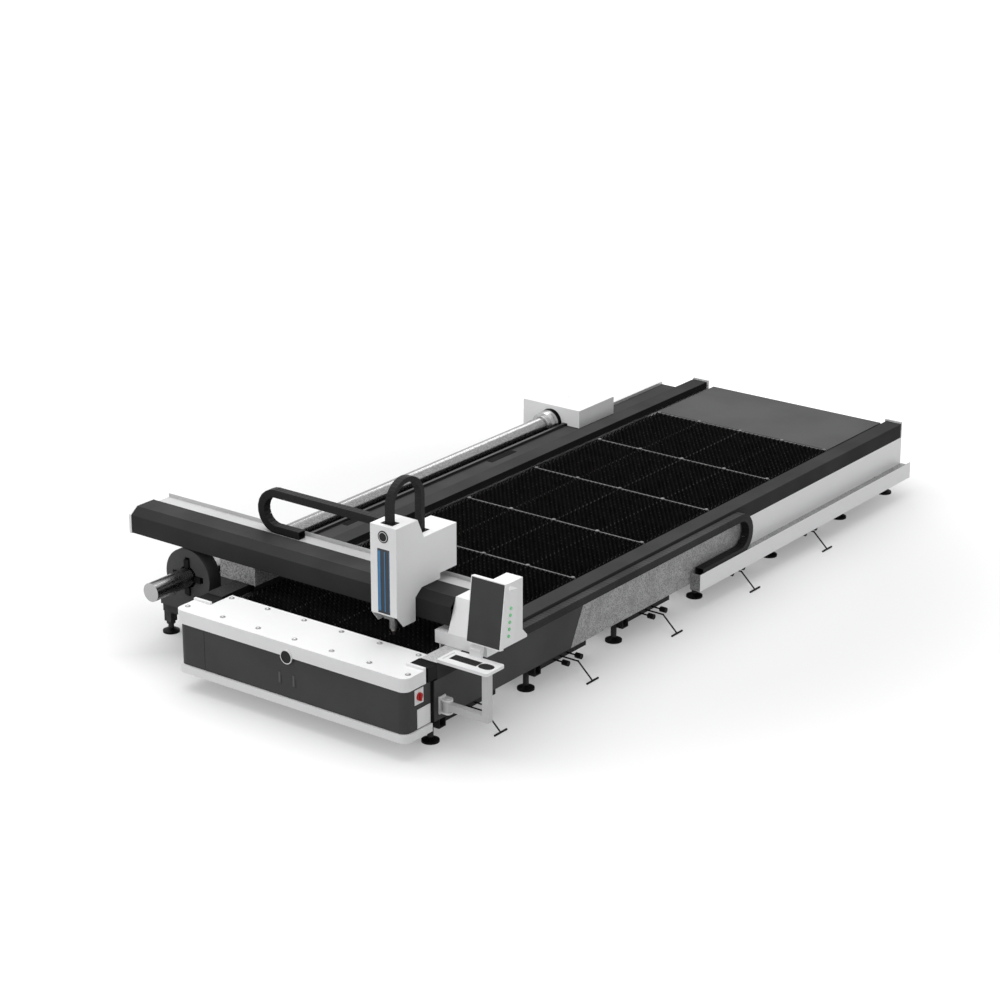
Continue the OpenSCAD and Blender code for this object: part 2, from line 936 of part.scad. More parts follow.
// Wall bracket of the console arm, with the arm's pin
module arm_bracket() {
    color("white") union() {
        block([panel_out, pivot_y - ear_w/2, arm_z - bracket_h/2],
            [panel_out + bracket_t, pivot_y + ear_w/2, arm_z + bracket_h/2]);
        for (s = [-1, 1]) translate([0, pivot_y, arm_z + s*(knuckle_h + ear_t + 2*slide_gap)/2]) union() {
            block([panel_out, -ear_w/2, -ear_t/2], [pivot_x, ear_w/2, ear_t/2]);
            translate([pivot_x, 0, -ear_t/2]) cylinder(r = ear_w/2, h = ear_t);
        }
        translate([pivot_x, pivot_y, arm_z - bracket_h/2 + ear_t - pin_head_h])
            cylinder(r = pin_r, h = bracket_h - ear_t);
        translate([pivot_x, pivot_y, arm_z - knuckle_h/2 - ear_t - slide_gap - pin_head_h])
            cylinder(r = pin_head_r, h = pin_head_h);
    }
}

// Section of the gantry beam: a box with chamfered upper edges
function beam_section(t) = [[beam_front + t, beam_low + t], [beam_back - t, beam_low + t],
    [beam_back - t, beam_top - t], [beam_front + chamfer_d + t/2, beam_top - t],
    [beam_front + t, beam_top - chamfer_h - t/2]];

module gantry_beam() {
    color("#333333") difference() {
        along_x(-beam_left, beam_right) polygon(beam_section(0));
        along_x(-beam_left - over, beam_right + over) polygon(beam_section(beam_wall));
    }
}

module beam_end_plate() {
    color("white") along_x(-beam_left - end_plate_t, -beam_left) polygon(beam_section(-end_plate_lip));
}

// Two guide rails on the rear face of the beam
module beam_rails() {
    color("lightgray") for (i = [0, 1]) translate([0, beam_back, beam_low + beam_rail_up + i*beam_rail_step])
        block([-beam_left, 0, 0], [beam_right, beam_rail_t, beam_rail_h]);
}

// Trough behind the beam that the beam chain lies in, with a channel before it for the head's carriage
module chain_trough() {
    low = beam_low + channel_up;
    color("#d8d8d8") union() {
        block([-beam_left, trough_front, trough_floor - trough_wall],
            [trough_right, trough_front + trough_w, trough_floor]);
        block([-beam_left, trough_front + trough_w - trough_wall, trough_floor - chamfer_h],
            [trough_right, trough_front + trough_w, trough_top]);
        block([-beam_left, trough_front, low],
            [trough_right, trough_front + trough_wall, trough_floor - trough_wall - seat]);
        block([-beam_left, beam_back, low], [trough_right, trough_front - seat, low + trough_wall]);
    }
}

// Guide blocks that hold a linear rail, on a leg under the carriage
module guide_leg(y0, y1) {
    in_x = table_w/2 + leg_clear;
    block([in_x, y0, guide_z - guide_block_t], [in_x + leg_t, y1, carriage_low]);
    for (y = [y0, y1 - guide_block_l]) translate([0, y, 0]) difference() {
        block([in_x + leg_t, 0, guide_z - guide_block_t - slide_gap],
            [rail_in - slide_gap, guide_block_l, guide_z + guide_h + guide_block_t]);
        block([rail_in - guide_w - slide_gap, -over, guide_z - slide_gap],
            [rail_in + over, guide_block_l + over, guide_z + guide_h + slide_gap]);
    }
}

// Left gantry end: a block under the beam and a skirt outside the rail
module left_carriage() {
    in_x = table_w/2 + leg_clear;
    color("#c9c9c9") mirror([1, 0, 0]) union() {
        block([in_x, beam_front, carriage_low], [left_out, foot_back, beam_low]);
        block([rail_out + cover_t, beam_front, carriage_low - left_skirt],
            [left_out, foot_back, carriage_low]);
        guide_leg(beam_front, foot_back);
    }
}

// Side outline of the right gantry end: flared feet and a sloped front
function end_outline(t) = [[foot_front + t, carriage_low + t], [foot_back - t, carriage_low + t],
    [foot_back - t, flare_z[1] - t/2], [motor_back - t, flare_z[0] - t/2],
    [motor_back - t, slope_top[1] - t],
    [slope_top[0] + t/2, slope_top[1] - t], [foot_front + t, base_top - t/2]];

// Base and upright plate of the right gantry end
module right_carriage() {
    color("white") union() {
        block([base_in, foot_front, carriage_low], [beam_right, beam_back, base_top]);
        along_x(beam_right, beam_right + upright_t) polygon(end_outline(0));
        guide_leg(foot_front + leg_t, foot_back - leg_t);
        block([chain_x - chain_w/2, bracket_y, side_top_z - chain_h/2],
            [chain_x + chain_w/2, bracket_y + bracket_l, carriage_low + cover_t]);
    }
}

// Sheet cover of the right gantry end with the motor tower
module right_end_cover() {
    x0 = beam_right + upright_t;
    color("white") difference() {
        union() {
            along_x(x0, carriage_out) polygon(end_outline(0));
            block([carriage_out - motor_w, motor_front, slope_top[1]],
                [carriage_out, motor_back, motor_top]);
        }
        along_x(x0 - over, carriage_out - cover_t) polygon(end_outline(cover_t));
        block([carriage_out - motor_w + cover_t, motor_front + cover_t, slope_top[1] - 2*cover_t],
            [carriage_out - cover_t, motor_back - cover_t, motor_top - cover_t]);
        block([chain_x - chain_w/2 - over, bracket_y - over, carriage_low - over],
            [chain_x + chain_w/2 + over, bracket_y + bracket_l + over, carriage_low + cover_t + over]);
    }
}

// Side outline of the head housing, which sits over the beam like a saddle
function head_outline() = [[tower_front, tower_low + tower_cut_h], [tower_front, head_top],
    [tower_back, head_top], [notch_back, notch_z], [head_back, notch_z], [head_back, head_under],
    [beam_back + chamfer_h/2, head_under], [beam_back + chamfer_h/2, beam_top + head_gap],
    [beam_front + chamfer_d - head_gap/2, beam_top + head_gap],
    [beam_front - head_gap, beam_top - chamfer_h + head_gap/2], [beam_front - head_gap, tower_low],
    [tower_front + tower_cut_d, tower_low]];

module head_housing() {
    color("white") difference() {
        along_x(head_left, head_x) polygon(head_outline());
        block([head_left + head_wall, tower_front + head_wall, tower_low - over],
            [head_x - head_wall, beam_front - head_gap - head_wall, head_top - head_wall]);
        block([head_left + head_wall, beam_front - head_gap - head_wall - over, beam_top + saddle_up],
            [head_x - head_wall, head_back - head_wall, notch_z - head_wall]);
        block([head_mid - window_w/2, tower_front - over, window_low],
            [head_mid + window_w/2, tower_front + head_wall + over, window_low + window_h]);
        block([head_left + plate_in - seat, beam_back + plate_y - seat, beam_top],
            [head_x - plate_in + seat, beam_back + plate_y + saddle_t + seat, beam_top + saddle_up + over]);
        head_slot(head_chain_y, head_top);
        head_slot(head_chain_y + 2*head_chain_r, notch_z);
    }
}

// Carriage of the head: a plate with four guide blocks behind the beam and a flange in the housing
module head_carriage() {
    back = beam_back + plate_y;
    color("gray") union() {
        block([head_left + plate_in, back, beam_low + beam_rail_up - guide_block_t],
            [head_x - plate_in, back + saddle_t, beam_top + saddle_up + saddle_t]);
        block([head_left + plate_in, back - saddle_w/2, beam_top + saddle_up],
            [head_x - plate_in, back + saddle_w/2, beam_top + saddle_up + saddle_t]);
        for (i = [0, 1], x = [head_left + plate_in, head_mid + saddle_t])
            translate([x, beam_back, beam_low + beam_rail_up + i*beam_rail_step]) difference() {
                block([0, slide_gap, -guide_block_t],
                    [head_w/2 - plate_in - saddle_t, plate_y, beam_rail_h + guide_block_t]);
                block([-over, -over, -slide_gap],
                    [head_w/2, beam_rail_t + slide_gap, beam_rail_h + slide_gap]);
            }
    }
}

// Slot in the housing's top that the head chain goes into
module head_slot(y, z) {
    half_w = head_chain_w/2 + head_slot_gap;
    half_h = head_chain_h/2 + head_slot_gap;
    block([head_mid - half_w, y - half_h, z - head_wall - over], [head_mid + half_w, y + half_h, z + over]);
}

// Window pane in the tower's front
module head_window() {
    half = window_w/2 - seat;
    color("#2b3034") block([head_mid - half, tower_front + head_wall - window_t, window_low + seat],
        [head_mid + half, tower_front + head_wall, window_low + window_h - seat]);
}

// Cutting head on its slide plate, inside the tower
module cutting_head() {
    low = table_h + nozzle_gap + nozzle_h + cut_neck_h;
    color("gray") translate([head_mid, 0, 0]) union() {
        translate([0, head_axis_y, low - cut_neck_h]) cylinder(r = cut_neck_r, h = cut_neck_h);
        block([-cut_body_w/2, head_axis_y - cut_body_d/2, low],
            [cut_body_w/2, head_axis_y + cut_body_d/2, low + cut_body_h]);
        block([-z_plate_w/2, head_axis_y + cut_body_d/2, low + cut_neck_h],
            [z_plate_w/2, beam_front - head_gap - head_wall - seat, low + cut_body_h + cut_neck_h]);
        block([-head_chain_w/2, head_chain_y - head_chain_h/2, low + cut_body_h],
            [head_chain_w/2, head_chain_y + head_chain_h/2, head_top - z_stroke - head_wall - over]);
    }
}

module nozzle() {
    color("peru") translate([head_mid, head_axis_y, table_h + nozzle_gap]) rotate_extrude()
        polygon([[nozzle_bore, 0], [nozzle_tip_r, 0], [nozzle_r, nozzle_h*nozzle_cone_share],
            [nozzle_r, nozzle_h], [nozzle_bore, nozzle_h]]);
}

// A drag chain in its side view: the bend's centre is at the origin, both runs leave along +X
module drag_chain(top_run, low_run, r, w, h, pitch) {
    n_bend = round(PI*r/pitch);
    step = 180/n_bend;
    translate([0, w/2, 0]) rotate([90, 0, 0]) union() {
        translate([0, 0, w*(1 - core_share)/2]) linear_extrude(w*core_share) {
            difference() {
                circle(r + h*core_share/2);
                circle(r - h*core_share/2);
                translate([0, -2*r]) square(4*r);
            }
            translate([0, r - h*core_share/2]) square([top_run, h*core_share]);
            translate([0, -r - h*core_share/2]) square([low_run, h*core_share]);
        }
        for (k = [0 : floor(top_run/pitch) - 1])
            translate([top_run - (k + 1/2)*pitch, r, 0]) chain_link(w, h, pitch);
        for (k = [0 : floor(low_run/pitch) - 1])
            translate([low_run - (k + 1/2)*pitch, -r, 0]) chain_link(w, h, pitch);
        for (k = [0 : n_bend - 1])
            rotate(90 + (k + 1/2)*step) translate([r, 0, 0]) rotate(90) chain_link(w, h, pitch);
    }
}

// One link: a block with cut corners
module chain_link(w, h, pitch) {
    a = pitch*link_share/2;
    b = h/2;
    c = h*link_cut_share;
    linear_extrude(w) polygon([[-a, c - b], [c - a, -b], [a - c, -b], [a, c - b],
        [a, b - c], [a - c, b], [c - a, b], [-a, b - c]]);
}

module beam_chain() {
    color("#262626") translate([beam_chain_bend, beam_chain_y, beam_chain_low + beam_chain_r])
        drag_chain(head_left - beam_chain_bend - seat, beam_chain_fixed - beam_chain_bend,
            beam_chain_r, chain_w, chain_h, link_pitch);
}

module side_chain() {
    color("#262626") translate([chain_x, side_bend_y, side_low_z + side_r]) rotate([0, 0, -90])
        drag_chain(side_bend_y - bracket_y - bracket_l - seat, side_bend_y - side_fixed_y,
            side_r, chain_w, chain_h, link_pitch);
}

module head_chain() {
    top = head_chain_z;
    color("#262626") translate([head_mid, head_chain_y + head_chain_r, top]) rotate([0, 90, 90])
        drag_chain(top - notch_z + head_wall, top - head_top + z_stroke + head_wall + over - seat,
            head_chain_r, head_chain_w, head_chain_h, head_link_pitch);
}

// Arm that swings about the bracket's pin, with the post welded on its end
module console_arm() {
    color("white") difference() {
        union() {
            translate([pivot_x, pivot_y, arm_z - knuckle_h/2]) cylinder(r = knuckle_r, h = knuckle_h);
            block([pivot_x, post_y - tube_w/2, arm_z - tube_w/2],
                [post_x + tube_w/2, post_y + tube_w/2, arm_z + tube_w/2]);
            block([post_x - tube_w/2, post_y - tube_w/2, arm_z],
                [post_x + tube_w/2, post_y + tube_w/2, tray_z]);
        }
        translate([pivot_x, pivot_y, arm_z - knuckle_h/2 - over])
            cylinder(r = pin_r + run_gap, h = knuckle_h + 2*over);
    }
}

// Plan of the tray with round corners
module tray_plan(w, d, r) {
    translate([r, 0]) square([w - 2*r, d]);
    translate([0, r]) square([w, d - 2*r]);
    for (x = [r, w - r], y = [r, d - r]) translate([x, y]) circle(r);
}

// Rounded slot in plan, for the mouse pad
module pad_plan(r) {
    translate([-pad_l/2, -r]) square([pad_l, 2*r]);
    for (s = [-1, 1]) translate([s*pad_l/2, 0]) circle(r);
}

// Keyboard tray with its recesses, and the neck that carries the monitor
module keyboard_tray() {
    neck_x = monitor_x + (monitor_w - ctrl_w)/2;
    color("white") union() {
        translate([tray_left, tray_y, tray_z]) difference() {
            linear_extrude(tray_board_t) tray_plan(tray_w, tray_d, tray_r);
            translate([0, 0, tray_board_t - insert_d]) linear_extrude(insert_d + over) {
                translate([key_x, key_y]) square([key_w, key_d]);
                translate([pad_x, pad_y]) pad_plan(pad_r);
            }
            translate([pen_x, pen_y, tray_board_t - insert_d]) cube([pen_w, pen_l, insert_d + over]);
        }
        along_x(neck_x - neck_w/2, neck_x + neck_w/2) polygon([
            [tray_y + tray_d - neck_t, tray_z], [tray_y + tray_d, tray_z],
            [neck_y(neck_t), monitor_z + neck_rise], [neck_y(0), monitor_z + neck_rise],
            [neck_y(0) - (neck_rise + neck_t)*tan(monitor_tilt), monitor_z - neck_t],
            [tray_y + tray_d - neck_t, monitor_z - 2*neck_t]]);
    }
}

// Depth of the monitor's back face at the neck's top
function neck_y(out) = monitor_y + monitor_t/cos(monitor_tilt) + seat + neck_rise*tan(monitor_tilt) + out;

// Keyboard with rows of keys, and the mouse pad
module tray_inserts() {
    step_x = (key_w - 2*seat)/key_cols;
    step_y = (key_d - 2*seat)/key_rows;
    color("#2a2a2a") translate([tray_left, tray_y, tray_z + tray_board_t - insert_d]) {
        translate([key_x + seat, key_y + seat, 0]) union() {
            cube([key_w - 2*seat, key_d - 2*seat, insert_d - key_h]);
            for (i = [0 : key_cols - 1], j = [0 : key_rows - 1])
                translate([i*step_x + key_gap/2, j*step_y + key_gap/2, insert_d - key_h])
                    cube([step_x - key_gap, step_y - key_gap, key_h]);
        }
        translate([pad_x, pad_y]) linear_extrude(insert_d) pad_plan(pad_r - seat);
    }
}

module tilted() {
    translate([monitor_x, monitor_y, monitor_z]) rotate([-monitor_tilt, 0, 0]) children();
}

module monitor_shell() {
    color("white") tilted() difference() {
        cube([monitor_w, monitor_t, monitor_h]);
        translate([screen_rim, -over, screen_rim])
            cube([monitor_w - 2*screen_rim, screen_t + over, monitor_h - 2*screen_rim]);
    }
}

module monitor_screen() {
    rim = screen_rim + seat;
    color("#3a3a3c") tilted() translate([rim, 0, rim])
        cube([monitor_w - 2*rim, screen_t, monitor_h - 2*rim]);
}

// Control box on the back of the monitor, flush with its right edge
module control_box() {
    color("white") tilted() translate([monitor_w - ctrl_w, monitor_t, monitor_h - ctrl_drop - ctrl_h])
        cube([ctrl_w, ctrl_d, ctrl_h]);
}

module indicator_lamps() {
    color("limegreen") tilted() for (i = [0 : lamp_n - 1])
        translate([monitor_w, monitor_t + lamp_in, monitor_h - ctrl_drop - ctrl_h + lamp_low + i*lamp_gap])
            rod_x(lamp_r, 0, lamp_t);
}

// Rear chuck carriage: a wide box on the rails with a narrow belly in the valley
module rear_chuck_box() {
    half = rear_w/2;
    belly = valley - belly_gap;
    block_top = deck_z + rail_section + slide_gap;
    outer_top = outer_deck_z + rail_section + slide_gap;
    outer_low = outer_deck_z + rear_clear;
    color("white") difference() {
        translate([-pipe_x, 0, 0]) along_y(rear_front, rear_front + rear_box_l)
            polygon([[-half, outer_low], [-half, rear_top], [half, rear_top], [half, rear_low],
                [rail_off + rear_block, rear_low], [rail_off + rear_block, block_top], [belly, block_top],
                [belly, pipe_z - belly], [-belly, pipe_z - belly], [-belly, outer_top],
                [-rail_off - rear_block, outer_top], [-rail_off - rear_block, outer_low]]);
        translate([-pipe_x, 0, pipe_z]) rod_y(recess_r, rear_front - over, rear_front + recess_d);
        translate([-pipe_x, 0, pipe_z])
            rod_y(spindle_r + run_gap, rear_front - over, rear_front + rear_box_l + over);
        translate([-pipe_x - slot_l/2, rear_front + rear_box_l/2, rear_top - slot_d])
            cube([slot_l, slot_w, slot_d + over]);
    }
}

// Turned spindle of the rear chuck with its collar and nose
module rear_spindle() {
    color("silver") translate([-pipe_x, 0, pipe_z]) difference() {
        union() {
            rod_y(spindle_r, spindle_front, rear_front + rear_box_l);
            difference() {
                rod_y(collar_r, spindle_front, rear_front + recess_d - belly_gap);
                for (i = [1, 2]) translate([0, spindle_front + i*collar_l, 0]) difference() {
                    rod_y(collar_r + over, 0, groove_w);
                    rod_y(collar_r - groove_d, -over, groove_w + over);
                }
            }
            rod_y(nose_r, spindle_front - nose_l, spindle_front);
        }
        rod_y(pipe_r + seat, spindle_front - nose_l - over, rear_front + rear_box_l + over);
    }
}

// The pipe being cut, closed at its front end
module work_pipe() {
    color("lightgray") translate([-pipe_x, 0, pipe_z]) difference() {
        rod_y(pipe_r, pipe_front, pipe_back);
        rod_y(pipe_r - pipe_wall, pipe_front + pipe_wall, pipe_back + over);
    }
}

// Turning disc of the front chuck, with four radial ways for the jaws
module front_chuck_disc() {
    color("#2e2e2e") translate([-pipe_x, 0, pipe_z]) difference() {
        rod_y(disc_r, chuck_front, chuck_front + chuck_t);
        rod_y(disc_bore, chuck_front - over, chuck_front + chuck_t + over);
        for (a = [0 : 90 : 270]) rotate([0, a, 0])
            block([-jaw_w/2 - slide_gap, chuck_front - over, 0],
                [jaw_w/2 + slide_gap, chuck_front + jaw_t - jaw_out + slide_gap, disc_r + over]);
    }
}

// One jaw with a stepped pad towards the pipe
module chuck_jaw(i) {
    in_z = pipe_r + jaw_gap;
    color("#1f1f1f") translate([-pipe_x, chuck_front - jaw_out, pipe_z]) rotate([0, 90*i, 0])
        along_y(0, jaw_t)
        polygon([[-jaw_w/4, in_z], [jaw_w/4, in_z], [jaw_w/2, in_z + jaw_w/4], [jaw_w/2, in_z + jaw_l],
            [-jaw_w/2, in_z + jaw_l], [-jaw_w/2, in_z + jaw_w/4]]);
}

// Lifting support: a square column with a V-shaped saddle under the pipe
module pipe_support(y) {
    low = valley_floor + seat;
    color("#2c2c2c") translate([-pipe_x, y, 0]) union() {
        block([-support_w/2, -support_w/2, low], [support_w/2, support_w/2, support_top - support_v_h]);
        along_y(-support_w/2, support_w/2) polygon([[-support_w/2, support_top - support_v_h],
            [support_w/2, support_top - support_v_h], [support_v_w/2, support_top],
            [support_w/2, support_top], [0, support_top - support_v_h/2], [-support_w/2, support_top],
            [-support_v_w/2, support_top]]);
    }
}

// Scrap cart: an open tray with a lip to run on, front lugs and a bent pull bar
module scrap_cart(i) {
    low = cart_top - cart_h;
    back = cart_front - cart_l;
    half = cart_w/2 - cart_lip - slide_gap;
    color("#3a3a3a") translate([0, cart_y(i), 0]) union() {
        difference() {
            union() {
                block([back, -half, low], [cart_front, half, cart_top]);
                block([back, -cart_w/2, cart_top - cart_wall], [cart_front, cart_w/2, cart_top]);
            }
            block([back + cart_wall, cart_wall - half, low + cart_wall],
                [cart_front - cart_wall, half - cart_wall, cart_top + over]);
        }
        for (s = [-1, 1]) translate([0, s*lug_gap/2, cart_top - cart_h/2]) {
            rod_x(pull_r, cart_front - cart_wall/2, rail_out + lug_l/2);
            rod_x(lug_r, rail_out, rail_out + lug_l);
        }
        pull_handle();
    }
}

// Pull bar: a stub, a rod that slopes to the floor and a cross bar
module pull_handle() {
    top = cart_top - cart_h/2;
    foot_z = grip_r;
    run = pull_out - pull_x;
    drop = top - foot_z;
    translate([0, 0, top]) rod_x(pull_r, cart_front - cart_wall/2, pull_x);
    translate([pull_x, 0, top]) sphere(r = grip_r);
    translate([pull_x, 0, top]) rotate([0, 90 + atan2(drop, run), 0])
        cylinder(r = pull_r, h = norm([run, drop]));
    translate([pull_out, 0, foot_z]) rod_y(grip_r, -pull_bar/2, pull_bar/2);
}

place() bed_frame();
place() levelling_feet();
place() slat_cradle();
place() table_slats();
place() rail_beams();
place() linear_rails();
place() rail_end_caps();
place() rail_end_stops();
place() front_box();
place() front_cover();
place() front_trim();
place() cover_bolts();
place() front_boss();
place() side_plates();
place() power_switch();
place() front_side_panels();
place() rear_side_panels();
place() rear_deck();
place() cable_tray();
place() tube_bed();
place() tube_rails();
place() chuck_housing();
place() arm_bracket();
place() gantry_beam();
place() beam_rails();
place() beam_end_plate();
place() chain_trough();
place() left_carriage();
place() right_carriage();
place() right_end_cover();
place() head_carriage();
place() head_housing();
place() head_window();
place() cutting_head();
place() nozzle();
place() beam_chain();
place() side_chain();
place() head_chain();
place() console_arm();
place() keyboard_tray();
place() tray_inserts();
place() monitor_shell();
place() monitor_screen();
place() control_box();
place() indicator_lamps();
place() rear_chuck_box();
place() rear_spindle();
place() work_pipe();
place() front_chuck_disc();
place() chuck_jaw(0);  // chuck_jaw_1
place() chuck_jaw(1);  // chuck_jaw_2
place() chuck_jaw(2);  // chuck_jaw_3
place() chuck_jaw(3);  // chuck_jaw_4
place() pipe_support(support_y(0));  // pipe_support_1
place() pipe_support(support_y(1));  // pipe_support_2
place() scrap_cart(0);  // scrap_cart_1
place() scrap_cart(1);  // scrap_cart_2
place() scrap_cart(2);  // scrap_cart_3
place() scrap_cart(3);  // scrap_cart_4
place() scrap_cart(4);  // scrap_cart_5
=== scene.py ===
# %% [markdown]
# # Flat-bed sheet and pipe laser cutter
# The machine is a long slat table for sheet metal with a pipe section along its left side. One gantry beam
# reaches over both, and its white head carries the cutting nozzle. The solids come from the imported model, so
# this script gives them their finishes and makes the fine pieces: the slats with their clips, the links of the
# drag chains, and small rims, catches and caps.

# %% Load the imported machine
import math
import bmesh
import bpy
from mathutils import Matrix, Vector

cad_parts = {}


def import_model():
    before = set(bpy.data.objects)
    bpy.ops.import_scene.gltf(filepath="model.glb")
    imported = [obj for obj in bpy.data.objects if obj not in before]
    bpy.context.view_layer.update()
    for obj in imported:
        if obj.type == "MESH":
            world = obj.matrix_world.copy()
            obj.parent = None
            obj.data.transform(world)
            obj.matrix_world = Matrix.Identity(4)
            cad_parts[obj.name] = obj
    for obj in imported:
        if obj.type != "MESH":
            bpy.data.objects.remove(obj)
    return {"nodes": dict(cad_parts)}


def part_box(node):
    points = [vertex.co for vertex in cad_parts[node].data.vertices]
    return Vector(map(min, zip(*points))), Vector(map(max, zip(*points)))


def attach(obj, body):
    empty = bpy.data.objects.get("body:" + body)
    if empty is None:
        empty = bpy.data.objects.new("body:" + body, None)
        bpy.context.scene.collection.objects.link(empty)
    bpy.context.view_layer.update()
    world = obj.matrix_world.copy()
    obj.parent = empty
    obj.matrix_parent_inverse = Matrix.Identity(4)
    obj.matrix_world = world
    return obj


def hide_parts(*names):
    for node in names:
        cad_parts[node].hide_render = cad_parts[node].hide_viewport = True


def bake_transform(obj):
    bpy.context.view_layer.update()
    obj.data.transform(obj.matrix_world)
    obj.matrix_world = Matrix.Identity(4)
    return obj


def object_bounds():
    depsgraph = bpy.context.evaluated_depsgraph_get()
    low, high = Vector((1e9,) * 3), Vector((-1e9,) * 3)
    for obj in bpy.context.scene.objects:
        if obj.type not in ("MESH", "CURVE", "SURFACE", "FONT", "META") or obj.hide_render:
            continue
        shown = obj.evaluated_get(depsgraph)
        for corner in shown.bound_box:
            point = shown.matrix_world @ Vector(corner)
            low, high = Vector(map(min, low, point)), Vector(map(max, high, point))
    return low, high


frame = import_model()
solids = frame["nodes"]
solid_low, solid_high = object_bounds()
print("solids:", len(solids), "size:", [round(v, 3) for v in solid_high - solid_low])


# %% [markdown]
# ## Camera
# The photograph looks at the operator's end from the right and from above with a long lens. The camera stands
# far out with a lens of about 98 mm, so the long sides of the bed hardly run together.

# %% Camera at the photograph's angle
LOOK_DOWN, TURN = math.radians(20.069), math.radians(36.986)
scene = bpy.context.scene
camera = bpy.data.objects.new("camera", bpy.data.cameras.new("camera"))
camera.data.sensor_fit = "HORIZONTAL"
camera.data.sensor_width = 36.0
camera.data.lens = 98.36
camera.data.clip_end = 200.0
camera.location = (14.051, -19.2575, 9.4349)
camera.rotation_euler = (math.pi / 2 - LOOK_DOWN, 0.0, TURN)
scene.collection.objects.link(camera)
scene.camera = camera
print("camera distance:", round((camera.location - (solid_low + solid_high) / 2).length, 2), "m")


# %% [markdown]
# ## Studio
# The machine stands on a plain pale floor under an even white sky. The white of the sky is only for the camera
# and for mirrored rays, and the light that it sends to the machine is weaker.

# %% Sky
scene.view_settings.view_transform = "Standard"


def put(tree, kind, wires=None, **settings):
    """A new node with its settings, and with its sockets wired or set."""
    node = tree.nodes.new(kind)
    for key, setting in settings.items():
        setattr(node, key, setting)
    for socket, source in (wires or {}).items():
        if isinstance(source, bpy.types.NodeSocket):
            tree.links.new(source, node.inputs[socket])
        else:
            node.inputs[socket].default_value = source
    return node


def value(tree, operation, *parts):
    return put(tree, "ShaderNodeMath", dict(enumerate(parts)), operation=operation).outputs[0]


def seen_directly(tree):
    """One for rays from the camera, from a mirror or through glass, nought for rays that light the part."""
    ray = put(tree, "ShaderNodeLightPath").outputs
    mirrored = value(tree, "MAXIMUM", ray["Is Glossy Ray"], ray["Is Transmission Ray"])
    return value(tree, "MAXIMUM", ray["Is Camera Ray"], mirrored)


SKY_LEVEL = 0.52
sky = bpy.data.worlds.new("studio_sky")
scene.world = sky
sky.use_nodes = True
sky_tree = sky.node_tree
sky_tree.nodes.clear()
soft_sky = put(sky_tree, "ShaderNodeBackground", {"Color": (0.98, 0.985, 1.0, 1.0), "Strength": SKY_LEVEL})
white_sky = put(sky_tree, "ShaderNodeBackground", {"Color": (1.0, 1.0, 1.0, 1.0), "Strength": 1.0})
both = put(sky_tree, "ShaderNodeMixShader", {0: seen_directly(sky_tree), 1: soft_sky.outputs[0],
                                             2: white_sky.outputs[0]})
put(sky_tree, "ShaderNodeOutputWorld", {"Surface": both.outputs[0]})
print("sky level:", SKY_LEVEL)

# %% [markdown]
# A large soft lamp above makes the tops brighter than the sides. Two weak ones lift the front and the right
# sides that face the dark table, and one behind draws a bright line along the pipe.

# %% Lamps
lamps = {
    "top_lamp": {"place": (-2.0, -1.5, 11.0), "aim": (0.0, -0.2, 0.5), "size": (12.0, 15.0), "watts": 1280.0},
    "front_lamp": {"place": (-4.0, -16.0, 5.0), "aim": (0.0, -2.0, 0.6), "size": (9.0, 5.0), "watts": 330.0},
    "back_lamp": {"place": (-5.8, 11.0, 8.7), "aim": (-1.4, 0.0, 0.6), "size": (5.0, 5.0), "watts": 190.0},
    "side_lamp": {"place": (16.0, -3.0, 6.0), "aim": (0.0, 0.0, 0.8), "size": (8.0, 6.0), "watts": 300.0},
}
for name, plan in lamps.items():
    light = bpy.data.lights.new(name, "AREA")
    light.shape = "RECTANGLE"
    light.size, light.size_y = plan["size"]
    light.energy = plan["watts"]
    lamp = bpy.data.objects.new(name, light)
    lamp.location = plan["place"]
    lamp.rotation_euler = (Vector(plan["aim"]) - Vector(plan["place"])).to_track_quat("-Z", "Y").to_euler()
    scene.collection.objects.link(lamp)
print("lamps:", list(lamps))

# %% [markdown]
# The floor keeps a soft shadow along the bed and goes over into white some metres away, so no edge of it is
# seen. Like the sky's, that white is only for the camera and for mirrored rays, so it puts no light on the
# machine, and the floor below the machine has none of it.

# %% Floor
def vector(tree, operation, *parts):
    """A step of vector arithmetic. A length comes out as a value, all else as a vector."""
    made = put(tree, "ShaderNodeVectorMath", dict(enumerate(parts)), operation=operation)
    return made.outputs["Value" if operation == "LENGTH" else "Vector"]


def span(tree, source, low, high, to_low=0.0, to_high=1.0, **settings):
    """Goes from one value to another while the source goes from low to high."""
    wires = {0: source, 1: low, 2: high, 3: to_low, 4: to_high}
    return put(tree, "ShaderNodeMapRange", wires, **settings).outputs[0]


def product(tree, first, second):
    return value(tree, "MULTIPLY", first, second)


FLOOR_REACH = 60
GLOW_NEAR, GLOW_FAR, GLOW_LEAST = 3.0, 8.0, 0.33
FOOTPRINT_SHIFT, FOOTPRINT_HALF = (0.1, 0.0, 0.0), (1.6, 3.7, 0.0)
SHADE_INSIDE, SHADE_OUTSIDE = -1.1, 0.35
floor_mesh = bpy.data.meshes.new("studio_floor")
corners = [(x * FLOOR_REACH, y * FLOOR_REACH, 0) for x, y in ((-1, -1), (1, -1), (1, 1), (-1, 1))]
floor_mesh.from_pydata(corners, [], [(0, 1, 2, 3)])
studio_floor = bpy.data.objects.new("studio_floor", floor_mesh)
scene.collection.objects.link(studio_floor)
floor_paint = bpy.data.materials.new("studio_floor")
floor_paint.use_nodes = True
floor_tree = floor_paint.node_tree
floor_shader = floor_tree.nodes["Principled BSDF"]
floor_shader.inputs["Base Color"].default_value = (0.5, 0.5, 0.5, 1.0)
floor_shader.inputs["Roughness"].default_value = 0.95
floor_shader.inputs["Specular IOR Level"].default_value = 0.0
